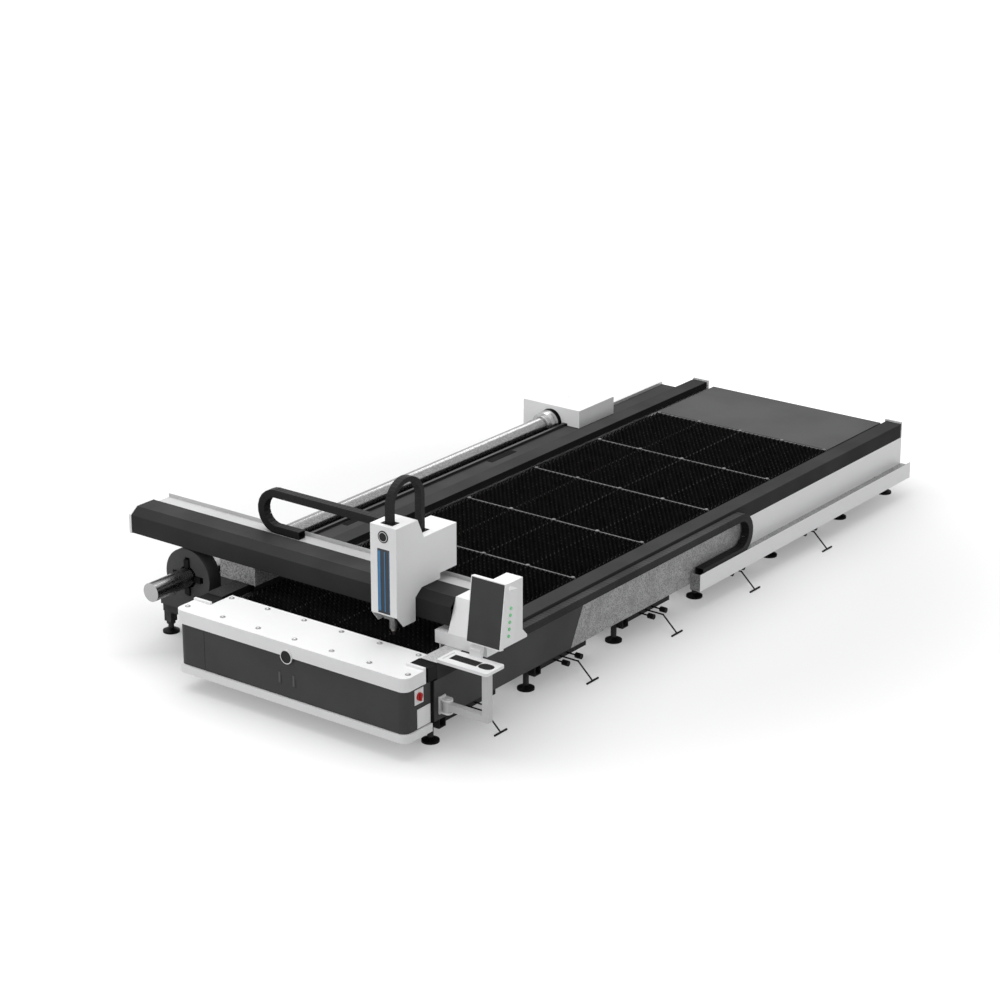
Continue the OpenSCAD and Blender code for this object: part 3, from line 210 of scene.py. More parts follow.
floor_shader.inputs["Emission Strength"].default_value = 1.0
spot = put(floor_tree, "ShaderNodeTexCoord").outputs["Object"]
glow = span(floor_tree, vector(floor_tree, "LENGTH", spot), GLOW_NEAR, GLOW_FAR, GLOW_LEAST,
            interpolation_type="SMOOTHSTEP")
beside = vector(floor_tree, "ABSOLUTE", vector(floor_tree, "ADD", spot, FOOTPRINT_SHIFT))
beside = vector(floor_tree, "SUBTRACT", beside, FOOTPRINT_HALF)
beside = put(floor_tree, "ShaderNodeSeparateXYZ", {0: beside}).outputs
past_edge = value(floor_tree, "MAXIMUM", beside["X"], beside["Y"])
open_floor = span(floor_tree, past_edge, SHADE_INSIDE, SHADE_OUTSIDE, interpolation_type="SMOOTHSTEP")
seen_glow = product(floor_tree, product(floor_tree, glow, seen_directly(floor_tree)), open_floor)
floor_tree.links.new(seen_glow, floor_shader.inputs["Emission Color"])
floor_mesh.materials.append(floor_paint)
print("floor goes into white from", GLOW_NEAR, "to", GLOW_FAR, "m away")


# %% [markdown]
# ## Shared surface effects
# Most finishes on a machine like this are a few effects over a plain colour. Powder coat has a fine orange-peel
# skin and faint cloudy shade. A speckle gives castings and plates their grain, and on the white wall and tray it
# is painted shade with a grain. Ground and polished steel have streaks along the way they were worked. Dust lies
# on what is near the floor. Each effect is one node group, so every finish that needs it uses the same one.

# %% Node group for the skin of paint
COLOUR, VALUE, VECTOR = "NodeSocketColor", "NodeSocketFloat", "NodeSocketVector"
SURFACE = [("Colour", COLOUR), ("Roughness", VALUE), ("Height", VALUE)]
GREY = (0.5, 0.5, 0.5, 1.0)


def effect(name, takes, gives):
    """A new node group: its tree, what it is given and what it puts out."""
    tree = bpy.data.node_groups.new(name, "ShaderNodeTree")
    for label, kind, start in takes:
        tree.interface.new_socket(label, in_out="INPUT", socket_type=kind).default_value = start
    for label, kind in gives:
        tree.interface.new_socket(label, in_out="OUTPUT", socket_type=kind)
    return tree, tree.nodes.new("NodeGroupInput").outputs, tree.nodes.new("NodeGroupOutput").inputs


def mixed(tree, share, first, second):
    return put(tree, "ShaderNodeMix", {0: share, 6: first, 7: second}, data_type="RGBA").outputs[2]


def noise(tree, where, scale, detail):
    return put(tree, "ShaderNodeTexNoise", {"Vector": where, "Scale": scale, "Detail": detail}).outputs[0]


paint_skin, have, give = effect("paint_skin", [
    ("Colour", COLOUR, GREY), ("Shade", COLOUR, GREY), ("Cloud Scale", VALUE, 1.6), ("Skin Scale", VALUE, 420.0),
    ("Rough Low", VALUE, 0.35), ("Rough High", VALUE, 0.5)], SURFACE)
where = put(paint_skin, "ShaderNodeTexCoord").outputs["Object"]
clouded = span(paint_skin, noise(paint_skin, where, have["Cloud Scale"], 5.0), 0.38, 0.64)
rough = span(paint_skin, clouded, 0.0, 1.0, have["Rough Low"], have["Rough High"])
paint_skin.links.new(mixed(paint_skin, clouded, have["Colour"], have["Shade"]), give["Colour"])
paint_skin.links.new(rough, give["Roughness"])
paint_skin.links.new(noise(paint_skin, where, have["Skin Scale"], 1.0), give["Height"])
print("paint skin takes", [socket.name for socket in have if socket.name])

# %% Node groups for speckle, steel streaks and dust
speckle_grain_and_shade, have, give = effect("speckle_grain_and_shade", [
    ("Dark", COLOUR, GREY), ("Light", COLOUR, GREY), ("Scale", VALUE, 90.0)], SURFACE)
where = put(speckle_grain_and_shade, "ShaderNodeTexCoord").outputs["Object"]
crystal = put(speckle_grain_and_shade, "ShaderNodeTexVoronoi", {"Vector": where, "Scale": have["Scale"]})
tone = put(speckle_grain_and_shade, "ShaderNodeSeparateColor", {0: crystal.outputs["Color"]}).outputs[0]
drift = span(speckle_grain_and_shade, noise(speckle_grain_and_shade, where, 7.0, 6.0), 0.25, 0.6, 0.45, 1.0)
speck = product(speckle_grain_and_shade, span(speckle_grain_and_shade, tone, 0.1, 0.75), drift)
speckle_grain_and_shade.links.new(mixed(speckle_grain_and_shade, speck, have["Dark"], have["Light"]), give["Colour"])
speckle_grain_and_shade.links.new(span(speckle_grain_and_shade, tone, 0.0, 1.0, 0.3, 0.55), give["Roughness"])
speckle_grain_and_shade.links.new(tone, give["Height"])

steel_streaks, have, give = effect("steel_streaks", [
    ("Colour", COLOUR, GREY), ("Shade", COLOUR, GREY), ("Stretch", VECTOR, (1.0, 1.0, 1.0)),
    ("Rough Low", VALUE, 0.2), ("Rough High", VALUE, 0.4)], SURFACE)
where = put(steel_streaks, "ShaderNodeTexCoord").outputs["Object"]
streak = noise(steel_streaks, vector(steel_streaks, "MULTIPLY", where, have["Stretch"]), 1.0, 7.0)
lines = span(steel_streaks, streak, 0.35, 0.65)
rough = span(steel_streaks, lines, 0.0, 1.0, have["Rough Low"], have["Rough High"])
steel_streaks.links.new(mixed(steel_streaks, lines, have["Colour"], have["Shade"]), give["Colour"])
steel_streaks.links.new(rough, give["Roughness"])
steel_streaks.links.new(streak, give["Height"])

DUST = (0.42, 0.41, 0.39, 1.0)
floor_dust, have, give = effect("floor_dust", [
    ("Colour", COLOUR, GREY), ("Reach", VALUE, 0.3), ("Amount", VALUE, 0.35)], [("Colour", COLOUR)])
where = put(floor_dust, "ShaderNodeTexCoord").outputs["Object"]
height = put(floor_dust, "ShaderNodeSeparateXYZ", {0: where}).outputs["Z"]
low_down = span(floor_dust, height, have["Reach"], 0.0, 0.0, have["Amount"])
dusty = product(floor_dust, low_down, span(floor_dust, noise(floor_dust, where, 26.0, 8.0), 0.4, 0.62))
floor_dust.links.new(mixed(floor_dust, dusty, have["Colour"], DUST), give["Colour"])
print("effects:", [group.name for group in bpy.data.node_groups])


# %% [markdown]
# ## Finishes
# The covers are satin white powder coat and the panels charcoal. The beam is a darker matt coat. Stops, jaws
# and pipe supports are black iron. The near part of the right wall is speckled grey as painted shade, and the
# rails, the spindle and the pipe are worked steel. A dark matt coat sends back little light, so its specular
# level is low.

# %% Painted finishes
def finish(name, metal=0.0, coat=0.0, level=0.5):
    made = bpy.data.materials.new(name)
    made.use_nodes = True
    shader = made.node_tree.nodes["Principled BSDF"]
    shader.inputs["Metallic"].default_value = metal
    shader.inputs["Coat Weight"].default_value = coat
    shader.inputs["Specular IOR Level"].default_value = level
    return made, made.node_tree, shader


def use(tree, group, values):
    return put(tree, "ShaderNodeGroup", values, node_tree=group).outputs


def dress(tree, shader, colour, look, relief=0.0, depth=0.0):
    """Gives a shader its colour and an effect's roughness, and its relief where there is any."""
    tree.links.new(colour, shader.inputs["Base Color"])
    tree.links.new(look["Roughness"], shader.inputs["Roughness"])
    if relief:
        made = put(tree, "ShaderNodeBump", {"Height": look["Height"], "Strength": relief, "Distance": depth})
        tree.links.new(made.outputs[0], shader.inputs["Normal"])


def grey(level):
    return (level, level, level, 1.0)


def painted(name, colour, shade, rough, dust=0.0, coat=0.0, skin=420.0, level=0.1, mask=None, other=None):
    """Powder coat. Where the mask is one the other colour shows."""
    made, tree, shader = finish(name, coat=coat, level=level)
    look = use(tree, paint_skin, {"Colour": colour, "Shade": shade, "Skin Scale": skin,
                                  "Rough Low": rough[0], "Rough High": rough[1]})
    surface = look["Colour"]
    if dust:
        surface = use(tree, floor_dust, {"Colour": surface, "Amount": dust})["Colour"]
    if mask:
        surface = mixed(tree, mask(tree), surface, other)
    dress(tree, shader, surface, look, relief=0.12, depth=0.0006)
    return made


cover_white = painted("cover_white", grey(0.81), grey(0.78), (0.36, 0.48), coat=0.08, level=0.3)
panel_charcoal = painted("panel_charcoal", grey(0.06), grey(0.053), (0.42, 0.55), dust=0.04)
beam_dark = painted("beam_dark", grey(0.021), grey(0.018), (0.45, 0.6))
frame_dark = painted("frame_dark", grey(0.012), grey(0.008), (0.5, 0.65), dust=0.08)
black_iron = painted("black_iron", grey(0.004), grey(0.003), (0.5, 0.65), dust=0.06)
deck_grey = painted("deck_grey", grey(0.092), grey(0.084), (0.75, 0.85))
trough_white = painted("trough_white", grey(0.55), grey(0.5), (0.35, 0.5))
chain_plastic = painted("chain_plastic", grey(0.017), grey(0.013), (0.45, 0.58), skin=900.0)
arm_grey = painted("arm_grey", grey(0.58), grey(0.53), (0.4, 0.55), skin=240.0)
key_black = painted("key_black", grey(0.02), grey(0.014), (0.5, 0.65), skin=1400.0)
drum_dark = painted("drum_dark", grey(0.066), grey(0.057), (0.42, 0.55))
boss_plain = painted("boss_plain", grey(0.022), grey(0.018), (0.3, 0.4))
print("painted finishes:", len(bpy.data.materials))

# %% [markdown]
# Some pieces carry two colours. The rail covers are painted near black on the side of the table, as painted
# shade. The levelling feet have grey posts on black pads, and the carts black buffers on a tray painted near
# black as the shade under the bed. The two hatch plates on the pipe section's deck are painted black as the
# shade in an opening, the control box's top is painted grey as painted shade, and the round boss has a pale rim.

# %% Finishes in two colours
def place_of(tree, axis):
    spot = put(tree, "ShaderNodeTexCoord").outputs["Object"]
    return put(tree, "ShaderNodeSeparateXYZ", {0: spot}).outputs[axis]


def facing(tree, axis):
    normal = put(tree, "ShaderNodeNewGeometry").outputs["Normal"]
    return put(tree, "ShaderNodeSeparateXYZ", {0: normal}).outputs[axis]


def past(tree, axis, edge, blur=0.001):
    """One past an edge along an axis and nought before it."""
    return span(tree, place_of(tree, axis), edge - blur, edge + blur)


def before(tree, axis, edge, blur=0.001):
    """One before an edge along an axis and nought past it."""
    return span(tree, place_of(tree, axis), edge + blur, edge - blur)


rail_low, rail_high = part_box("rail_beams")
table_middle = (rail_low.x + rail_high.x) / 2
PAD_TOP, CART_FACE = 0.045, 1.5175
DECK_TOP, HATCH_LIFT = 0.620, 0.004
BOSS_RIM = 0.054
boss_low, boss_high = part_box("front_boss")
boss_middle = (boss_low + boss_high) / 2


# The faces of the rail covers that look towards the table are painted near black: painted shade on the rails'
# sides.
def table_side_painted_shade(tree):
    off = value(tree, "SUBTRACT", place_of(tree, "X"), table_middle)
    return span(tree, product(tree, off, facing(tree, "X")), -0.3, -0.8)


def low_pad(tree):
    return before(tree, "Z", PAD_TOP, 0.005)


def buffers(tree):
    return past(tree, "X", CART_FACE + 0.002)


def hatches_painted_as_openings(tree):
    """The two raised hatch plates on the right deck of the pipe section, painted black as the shade in an
    opening.
    """
    hatch_top = DECK_TOP + HATCH_LIFT
    return product(tree, past(tree, "Z", hatch_top - 0.0025, 0.0005),
                   before(tree, "Z", hatch_top + 0.0025, 0.0005))


# The upward faces of the control box are painted grey: painted shade over its lit top.
def top_painted_shade(tree):
    return span(tree, facing(tree, "Z"), 0.5, 0.7)


def boss_rim(tree):
    spot = put(tree, "ShaderNodeTexCoord").outputs["Object"]
    flat = vector(tree, "MULTIPLY", vector(tree, "SUBTRACT", spot, tuple(boss_middle)), (1.0, 0.0, 1.0))
    return span(tree, vector(tree, "LENGTH", flat), BOSS_RIM - 0.0005, BOSS_RIM + 0.0005)


rail_charcoal = painted("rail_charcoal", grey(0.036), grey(0.031), (0.75, 0.85), mask=table_side_painted_shade,
                        other=grey(0.005))
frame_grey = painted("frame_grey", grey(0.053), grey(0.046), (0.75, 0.85), dust=0.1, mask=hatches_painted_as_openings,
                     other=grey(0.004))
foot_iron = painted("foot_iron", grey(0.045), grey(0.035), (0.4, 0.55), mask=low_pad, other=grey(0.004))
# The carts' tray is painted near black as the shade under the bed; the buffers are black.
cart_painted_shade = painted("cart_painted_shade", grey(0.022), grey(0.016), (0.4, 0.55), mask=buffers, other=grey(0.006))
box_white = painted("box_white", grey(0.81), grey(0.78), (0.36, 0.48), level=0.3, mask=top_painted_shade, other=grey(0.45))
boss_dark = painted("boss_dark", grey(0.022), grey(0.018), (0.3, 0.4), mask=boss_rim, other=grey(0.75))
print("two-colour finishes:",
      [made.name for made in (rail_charcoal, frame_grey, foot_iron, cart_painted_shade, box_white, boss_dark)])

# %% [markdown]
# The worked steel is streaked. The rails of the pipe section are dark up to the rear chuck box, the spindle is
# black next to the box, and the cut end of the pipe is plain.

# %% Worked steel
def streaked(name, colour, shade, stretch, rough, depth=0.08, metal=1.0, mask=None, other=None):
    """Steel with streaks. Where the mask is one the other colour shows."""
    made, tree, shader = finish(name, metal=metal)
    look = use(tree, steel_streaks, {"Colour": colour, "Shade": shade, "Stretch": stretch,
                                     "Rough Low": rough[0], "Rough High": rough[1]})
    surface = mixed(tree, mask(tree), look["Colour"], other) if mask else look["Colour"]
    dress(tree, shader, surface, look, relief=depth, depth=0.0008)
    return made


pipe_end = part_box("work_pipe")[0].y
box_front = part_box("rear_chuck_box")[0].y
UNDER_BOX, COLLAR = 0.295, 0.046


def end_face(tree):
    return before(tree, "Y", pipe_end + 0.001, 0.0005)


def ahead_of_box(tree):
    return before(tree, "Y", box_front + UNDER_BOX, 0.005)


def near_box(tree):
    return past(tree, "Y", box_front - COLLAR)


rail_steel = streaked("rail_steel", grey(0.62), grey(0.5), (160.0, 3.0, 160.0), (0.25, 0.4))
cradle_steel = streaked("cradle_steel", grey(0.2), grey(0.09), (60.0, 60.0, 60.0), (0.45, 0.6))
spindle_steel = streaked("spindle_steel", grey(0.6), grey(0.42), (9.0, 260.0, 9.0), (0.2, 0.34),
                         mask=near_box, other=grey(0.006))
pipe_steel = streaked("pipe_steel", grey(0.38), grey(0.2), (90.0, 60.0, 90.0), (0.16, 0.3), depth=0.05,
                      mask=end_face, other=grey(0.34))
pipe_rail = streaked("pipe_rail", grey(0.74), grey(0.62), (160.0, 3.0, 160.0), (0.3, 0.42), metal=0.4,
                     mask=ahead_of_box, other=grey(0.03))
bolt_steel = streaked("bolt_steel", grey(0.45), grey(0.34), (90.0, 90.0, 90.0), (0.3, 0.45))
head_metal = streaked("head_metal", grey(0.5), grey(0.4), (90.0, 90.0, 400.0), (0.3, 0.45))
cutter_steel = streaked("cutter_steel", grey(0.2), grey(0.1), (90.0, 90.0, 400.0), (0.3, 0.45))
nozzle_copper = streaked("nozzle_copper", (0.3, 0.27, 0.24, 1.0), (0.2, 0.18, 0.16, 1.0),
                         (60.0, 60.0, 900.0), (0.28, 0.4))
print("worked steel:", [made.name for made in (rail_steel, spindle_steel, pipe_steel, pipe_rail)])

# %% [markdown]
# The speckled sheets and castings carry two colours. The far half of the right wall and the sides of the cable
# tray are white; the near half of the wall and the front and top of the tray are speckled grey as painted shade
# by the side chain's loop. The left carriage is painted black below the rail top as painted shade under the
# beam, and one plate beside the pipe is near black.

# %% Speckled metal
def speckled(name, dark, light, plain, mask):
    """Speckled grey, which is grain on cast metal and plates and painted shade on the white wall and tray. Where
    the mask is one the plain colour shows.
    """
    made, tree, shader = finish(name, metal=0.1, level=0.3)
    look = use(tree, speckle_grain_and_shade, {"Dark": dark, "Light": light, "Scale": 110.0})
    dress(tree, shader, mixed(tree, mask(tree), look["Colour"], plain), look, relief=0.12, depth=0.0005)
    return made


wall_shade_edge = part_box("side_chain")[1].y - 0.04
rail_top = rail_high.z


# Before this edge the right wall is speckled grey as painted shade from the side chain's loop; past it the wall
# is plain white.
def past_wall_shade(tree):
    return past(tree, "Y", wall_shade_edge, 0.004)


# The front and top faces of the cable tray are speckled grey as painted shade; its sides stay white.
def tray_white_sides(tree):
    tray_shaded_faces = value(tree, "MAXIMUM", span(tree, facing(tree, "Y"), -0.5, -0.7),
                 span(tree, facing(tree, "Z"), 0.5, 0.7))
    return span(tree, tray_shaded_faces, 1.0, 0.0)


# The left carriage is painted black below the rail top: painted shade under the beam.
def below_rail_top_painted_shade(tree):
    return before(tree, "Z", rail_top + 0.002)


def dark_front_plate(tree):
    """The front plate on the left, beside the pipe."""
    return product(tree, before(tree, "X", table_middle + 0.05, 0.05), before(tree, "Y", 0.05, 0.05))


wall_speckled_shade = speckled("wall_speckled_shade", grey(0.2), grey(0.46), grey(0.8), past_wall_shade)
tray_sheet = speckled("tray_sheet", grey(0.18), grey(0.42), grey(0.81), tray_white_sides)
cast_block = speckled("cast_block", grey(0.12), grey(0.33), grey(0.006), below_rail_top_painted_shade)
wear_plate = speckled("wear_plate", grey(0.42), grey(0.62), grey(0.012), dark_front_plate)
print("speckled finishes:", [made.name for made in (wall_speckled_shade, tray_sheet, cast_block, wear_plate)])

# %% [markdown]
# The slats are scorched black by the cutting. Only the tips of their teeth are worn bare in places.

# %% Scorched slat steel
BARE_TIP = 0.012
slat_low, slat_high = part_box("table_slats")
slat_scorched, tree, shader = finish("slat_scorched", level=0.08)
look = use(tree, paint_skin, {"Colour": grey(0.003), "Shade": (0.007, 0.006, 0.006, 1.0), "Cloud Scale": 9.0,
                              "Skin Scale": 150.0, "Rough Low": 0.5, "Rough High": 0.75})
where = put(tree, "ShaderNodeTexCoord").outputs["Object"]
tip = span(tree, place_of(tree, "Z"), slat_high.z - BARE_TIP, slat_high.z)
worn = product(tree, tip, span(tree, noise(tree, where, 38.0, 3.0), 0.45, 0.62))
dress(tree, shader, mixed(tree, worn, look["Colour"], grey(0.05)), look, relief=0.3, depth=0.0006)
print("slat tops at", round(slat_high.z, 3), "m")

# %% [markdown]
# The screen, the window with its film, the switch and the lamps are smooth. The green lamps glow a little.

# %% Smooth finishes
def pane(name, colour, shade, rough, coat=0.4, level=0.3):
    made, tree, shader = finish(name, coat=coat, level=level)
    look = use(tree, paint_skin, {"Colour": colour, "Shade": shade, "Cloud Scale": 5.0, "Skin Scale": 60.0,
                                  "Rough Low": rough[0], "Rough High": rough[1]})
    dress(tree, shader, look["Colour"], look)
    return made


screen_dark = pane("screen_dark", grey(0.036), grey(0.033), (0.4, 0.5), coat=0.0, level=0.2)
window_dark = pane("window_dark", (0.022, 0.028, 0.036, 1.0), (0.016, 0.021, 0.028, 1.0), (0.3, 0.4), coat=0.1)
film_blue = pane("film_blue", (0.012, 0.18, 0.4, 1.0), (0.01, 0.14, 0.33, 1.0), (0.25, 0.4))
switch_red = pane("switch_red", (0.52, 0.012, 0.012, 1.0), (0.4, 0.01, 0.01, 1.0), (0.25, 0.4))
lamp_green = pane("lamp_green", (0.2, 0.62, 0.28, 1.0), (0.16, 0.5, 0.22, 1.0), (0.15, 0.3))
shader = lamp_green.node_tree.nodes["Principled BSDF"]
shader.inputs["Emission Color"].default_value = (0.05, 0.8, 0.1, 1.0)
shader.inputs["Emission Strength"].default_value = 0.06
print("finishes in all:", len(bpy.data.materials))


# %% [markdown]
# ## Dressing the solids
# Each solid keeps its shape and takes the finish of the real piece. The list goes by finish, because a maker
# paints all the pieces of one colour in one go.

# %% Give each solid its finish
wardrobe = {
    cover_white: ["front_cover", "front_trim", "side_plates", "arm_bracket", "beam_end_plate", "right_carriage",
                  "right_end_cover", "head_housing", "keyboard_tray", "monitor_shell", "rear_chuck_box"],
    arm_grey: ["console_arm"],
    box_white: ["control_box"],
    panel_charcoal: ["front_box", "front_side_panels"],
    rail_charcoal: ["rail_beams"],
    boss_dark: ["front_boss"],
    tray_sheet: ["cable_tray"],
    beam_dark: ["gantry_beam"],
    frame_dark: ["bed_frame"],
    frame_grey: ["tube_bed"],
    cart_painted_shade: [f"scrap_cart_{i}" for i in range(1, 6)],
    foot_iron: ["levelling_feet"],
    black_iron: ["rail_end_stops", "pipe_support_1", "pipe_support_2"] + [f"chuck_jaw_{i}" for i in range(1, 5)],
    drum_dark: ["chuck_housing", "front_chuck_disc"],
    deck_grey: ["rear_deck"],
    trough_white: ["chain_trough"],
    wear_plate: ["rail_end_caps"],
    key_black: ["tray_inserts"],
    rail_steel: ["linear_rails", "beam_rails"],
    pipe_rail: ["tube_rails"],
    bolt_steel: ["cover_bolts"],
    cradle_steel: ["slat_cradle"],
    spindle_steel: ["rear_spindle"],
    pipe_steel: ["work_pipe"],
    head_metal: ["head_carriage"],
    cutter_steel: ["cutting_head"],
    nozzle_copper: ["nozzle"],
    wall_speckled_shade: ["rear_side_panels"],
    cast_block: ["left_carriage"],
    screen_dark: ["monitor_screen"],
    window_dark: ["head_window"],
    switch_red: ["power_switch"],
    lamp_green: ["indicator_lamps"],
}
for cloth, names in wardrobe.items():
    for name in names:
        solid = solids[name]
        if not solid.material_slots:
            solid.data.materials.append(cloth)
        for slot in solid.material_slots:
            slot.material = cloth
undressed = set(solids) - {name for names in wardrobe.values() for name in names}
print("left for pieces of their own:", sorted(undressed))


# %% [markdown]
# ## Slat table
# The sheet lies on the tips of thin steel slats that stand on edge across the bed. They are laser-cut from
# strip with a row of pointed teeth, so little metal is in the way of the beam. There are seventeen in each of
# the six rows, and each has forty teeth.

# %% Cut the slats
def piece(name, shape, cloth, body):
    """Makes a visible piece of a shape, with its finish and its slot, riding on a body if one is given."""
    mesh = bpy.data.meshes.new(name)
    bmesh.ops.recalc_face_normals(shape, faces=shape.faces)
    shape.to_mesh(mesh)
    shape.free()
    mesh.materials.append(cloth)
    made = bpy.data.objects.new(name, mesh)
    scene.collection.objects.link(made)
    if body:
        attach(made, body)
    return made


ROWS, SLATS_IN_ROW, TEETH = 6, 17, 40
TOOTH, SLAT_THICK, BAR_HALF = 0.026, 0.005, 0.007
cradle_low, cradle_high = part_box("slat_cradle")
table_front = cradle_low.y + BAR_HALF
table_width = slat_high.x - slat_low.x
row_length = (cradle_high.y - cradle_low.y - 2 * BAR_HALF) / ROWS
half_teeth = [slat_low.x + i / (2 * TEETH) * table_width for i in range(2 * TEETH + 1)]
slat_places = [table_front + (k + 0.5) / SLATS_IN_ROW * row_length for k in range(ROWS * SLATS_IN_ROW)]
shape = bmesh.new()
for middle in slat_places:
    sides = []
    for y in (middle - SLAT_THICK / 2, middle + SLAT_THICK / 2):
        foot = [shape.verts.new((x, y, slat_low.z)) for x in half_teeth]
        comb = [shape.verts.new((x, y, slat_high.z - TOOTH * ((i + 1) % 2))) for i, x in enumerate(half_teeth)]
        sides.append((foot, comb))
    for i in range(2 * TEETH):
        for foot, comb in sides:
            shape.faces.new((foot[i], foot[i + 1], comb[i + 1], comb[i]))
        for near, far in zip(*sides):
            shape.faces.new((near[i], near[i + 1], far[i + 1], far[i]))
    for end in (0, -1):
        shape.faces.new((sides[0][0][end], sides[0][1][end], sides[1][1][end], sides[1][0][end]))
slat_field = piece("slat_field", shape, slat_scorched, "bed")
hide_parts("table_slats")
print("slats:", len(slat_places), "triangles:", sum(len(p.vertices) - 2 for p in slat_field.data.polygons))


# %% [markdown]
# Each slat is held by small dark clips on the five long bars of the cradle, so faint lines of dots run along
# the table. Where a cross bar goes over a long bar, a round clamp plate holds the two together.

# %% Clips and clamp plates
def skin_over(shape, rings, ends=True):
    """Faces from each ring of points to the next, and one over each end."""
    for near, far in zip(rings, rings[1:]):
        for k in range(len(near)):
            j = (k + 1) % len(near)
            shape.faces.new((near[k], near[j], far[j], far[k]))
    if ends:
        shape.faces.new(rings[0][::-1])
        shape.faces.new(rings[-1])


def stud(shape, at, tall, foot_r, top_r, corners):
    """A low upright stud with a cut edge."""
    turn = [2 * math.pi * (k + 0.5) / corners for k in range(corners)]
    skin_over(shape, [[shape.verts.new(at + Vector((r * math.cos(a), r * math.sin(a), lift))) for a in turn]
                      for lift, r in ((0.0, foot_r), (tall * 0.6, foot_r), (tall, top_r))])


CLIP_EDGE, CLIP_STEP, CLIP_SINK = 0.014, 0.243, 0.004
clip_steel = painted("clip_steel", grey(0.07), grey(0.035), (0.35, 0.5))
plate_steel = painted("plate_steel", grey(0.2), grey(0.13), (0.35, 0.5))
columns = [slat_low.x + table_width * (CLIP_EDGE + CLIP_STEP * k) for k in range(5)]
clip_foot = slat_high.z - TOOTH - CLIP_SINK
shape = bmesh.new()
for x in columns:
    for y in slat_places:
        stud(shape, Vector((x, y, clip_foot)), tall=0.014, foot_r=0.007, top_r=0.005, corners=4)
piece("table_clips", shape, clip_steel, "bed")
shape = bmesh.new()
for x in columns:
    for row in range(ROWS + 1):
        at = Vector((x, table_front + row * row_length, cradle_high.z))
        stud(shape, at, tall=0.008, foot_r=0.019, top_r=0.015, corners=16)
piece("clamp_plates", shape, plate_steel, "bed")
print("clips:", len(columns) * len(slat_places), "clamp plates:", len(columns) * (ROWS + 1))


# %% [markdown]
# ## Drag chains
# Three drag chains lead cables and gas to the moving parts: one beside the bed, one on the beam and one over
# the head. Each is a row of short moulded links with closed lids, so it looks like a smooth band. A link has
# two side plates, a lid on each face and a pin on each side. In the bend its outer lid is longer than its inner
# one, so the seams stay shut.

# %% Shape of one link
PLATE, LID, PIN_LIFT = 0.006, 0.005, 0.0006
SEAM, CUT = 0.0005, 0.0015
PIN_SHARE, PIN_STEPS = 0.22, 7


def slab(shape, place, outline, inner, outer):
    """A flat piece with the given outline along the chain, between two distances from the chain's middle."""
    skin_over(shape, [[shape.verts.new(place @ Vector((x, y, z))) for x, z in outline] for y in (inner, outer)])


def pin_outline(across):
    half = [(across / 2 * math.cos(a), across / 2 * math.sin(a))
            for a in [math.pi * (i / PIN_STEPS - 0.5) for i in range(PIN_STEPS + 1)]]
    return half + [(-x, -z) for x, z in half]


def chain_link(shape, place, pitch, width, height, bend=None):
    """One link, with its outer face longer than its inner one where it stands in a bend of the given radius."""
    grow = height / (2 * bend) if bend else 0.0
    tall, wide = height / 2, width / 2
    over, under = pitch / 2 * (1 + grow) - SEAM, pitch / 2 * (1 - grow) - SEAM
    side = [(-under, CUT - tall), (CUT - under, -tall), (under - CUT, -tall), (under, CUT - tall),
            (over, tall - CUT), (over - CUT, tall), (CUT - over, tall), (-over, tall - CUT)]
    for hand in (-1, 1):
        slab(shape, place, side, hand * (wide - PLATE), hand * (wide - PIN_LIFT))
        slab(shape, place, pin_outline(height * PIN_SHARE), hand * (wide - PIN_LIFT), hand * wide)
    for face, reach in ((1, over), (-1, under)):
        flat = [(-reach, face * (tall - LID)), (reach, face * (tall - LID)), (reach, face * (tall - CUT)),
                (reach - CUT, face * tall), (CUT - reach, face * tall), (-reach, face * (tall - CUT))]
        slab(shape, place, flat, PLATE - wide, wide - PLATE)


print("one link has two plates, two lids and two pins")

# %% [markdown]
# A run's links stand along a straight line and a bend's links along a half circle. A link's own X goes along
# the chain, its Y across it and its Z out of the bend. When the machine moves, the bend goes half as far as the
# end that is pulled, so each chain is made as a fixed run, a bend and a moving run.

# %% Lay the links along runs and bends
def chain_place(at, along, out):
    turn = Matrix((along, out.cross(along), out)).transposed().to_4x4()
    return Matrix.Translation(at) @ turn


def run_links(name, start, end, out, pitch, width, height):
    shape = bmesh.new()
    way = end - start
    count = max(1, round(way.length / pitch))
    for i in range(count):
        place = chain_place(start + way * ((i + 0.5) / count), way.normalized(), out)
        chain_link(shape, place, way.length / count, width, height)
    return piece(name, shape, chain_plastic, None)


def bend_links(name, centre, radius, first, top, pitch, width, height):
    shape = bmesh.new()
    count = max(2, round(math.pi * radius / pitch))
    for i in range(count):
        a = math.pi * (i + 0.5) / count
        out = first * math.cos(a) + top * math.sin(a)
        place = chain_place(centre + out * radius, top * math.cos(a) - first * math.sin(a), out)
        chain_link(shape, place, math.pi * radius / count, width, height, radius)
    return piece(name, shape, chain_plastic, None)


def drag_chain(name, centre, radius, first, top, fixed_end, moving_end, size):
    """first points from the bend's centre to the fixed run, top points out through the middle of the bend."""
    low, high = centre + first * radius, centre - first * radius
    parts = [run_links(name + "_fixed_run", fixed_end, low, first, **size),
             bend_links(name + "_bend", centre, radius, first, top, **size),
             run_links(name + "_moving_run", high, moving_end, -first, **size)]
    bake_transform(parts[0])
    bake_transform(parts[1])
    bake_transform(parts[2])
    for part in parts:
        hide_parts(name)
    print(name, "faces:", [len(part.data.polygons) for part in parts])


X, Y, Z = Vector((1, 0, 0)), Vector((0, 1, 0)), Vector((0, 0, 1))
wide_chain = {"pitch": 0.046, "width": 0.083, "height": 0.070}
slim_chain = {"pitch": 0.031, "width": 0.070, "height": 0.044}
SIDE_START_Y, BEAM_START_X = 0.176, -0.4425

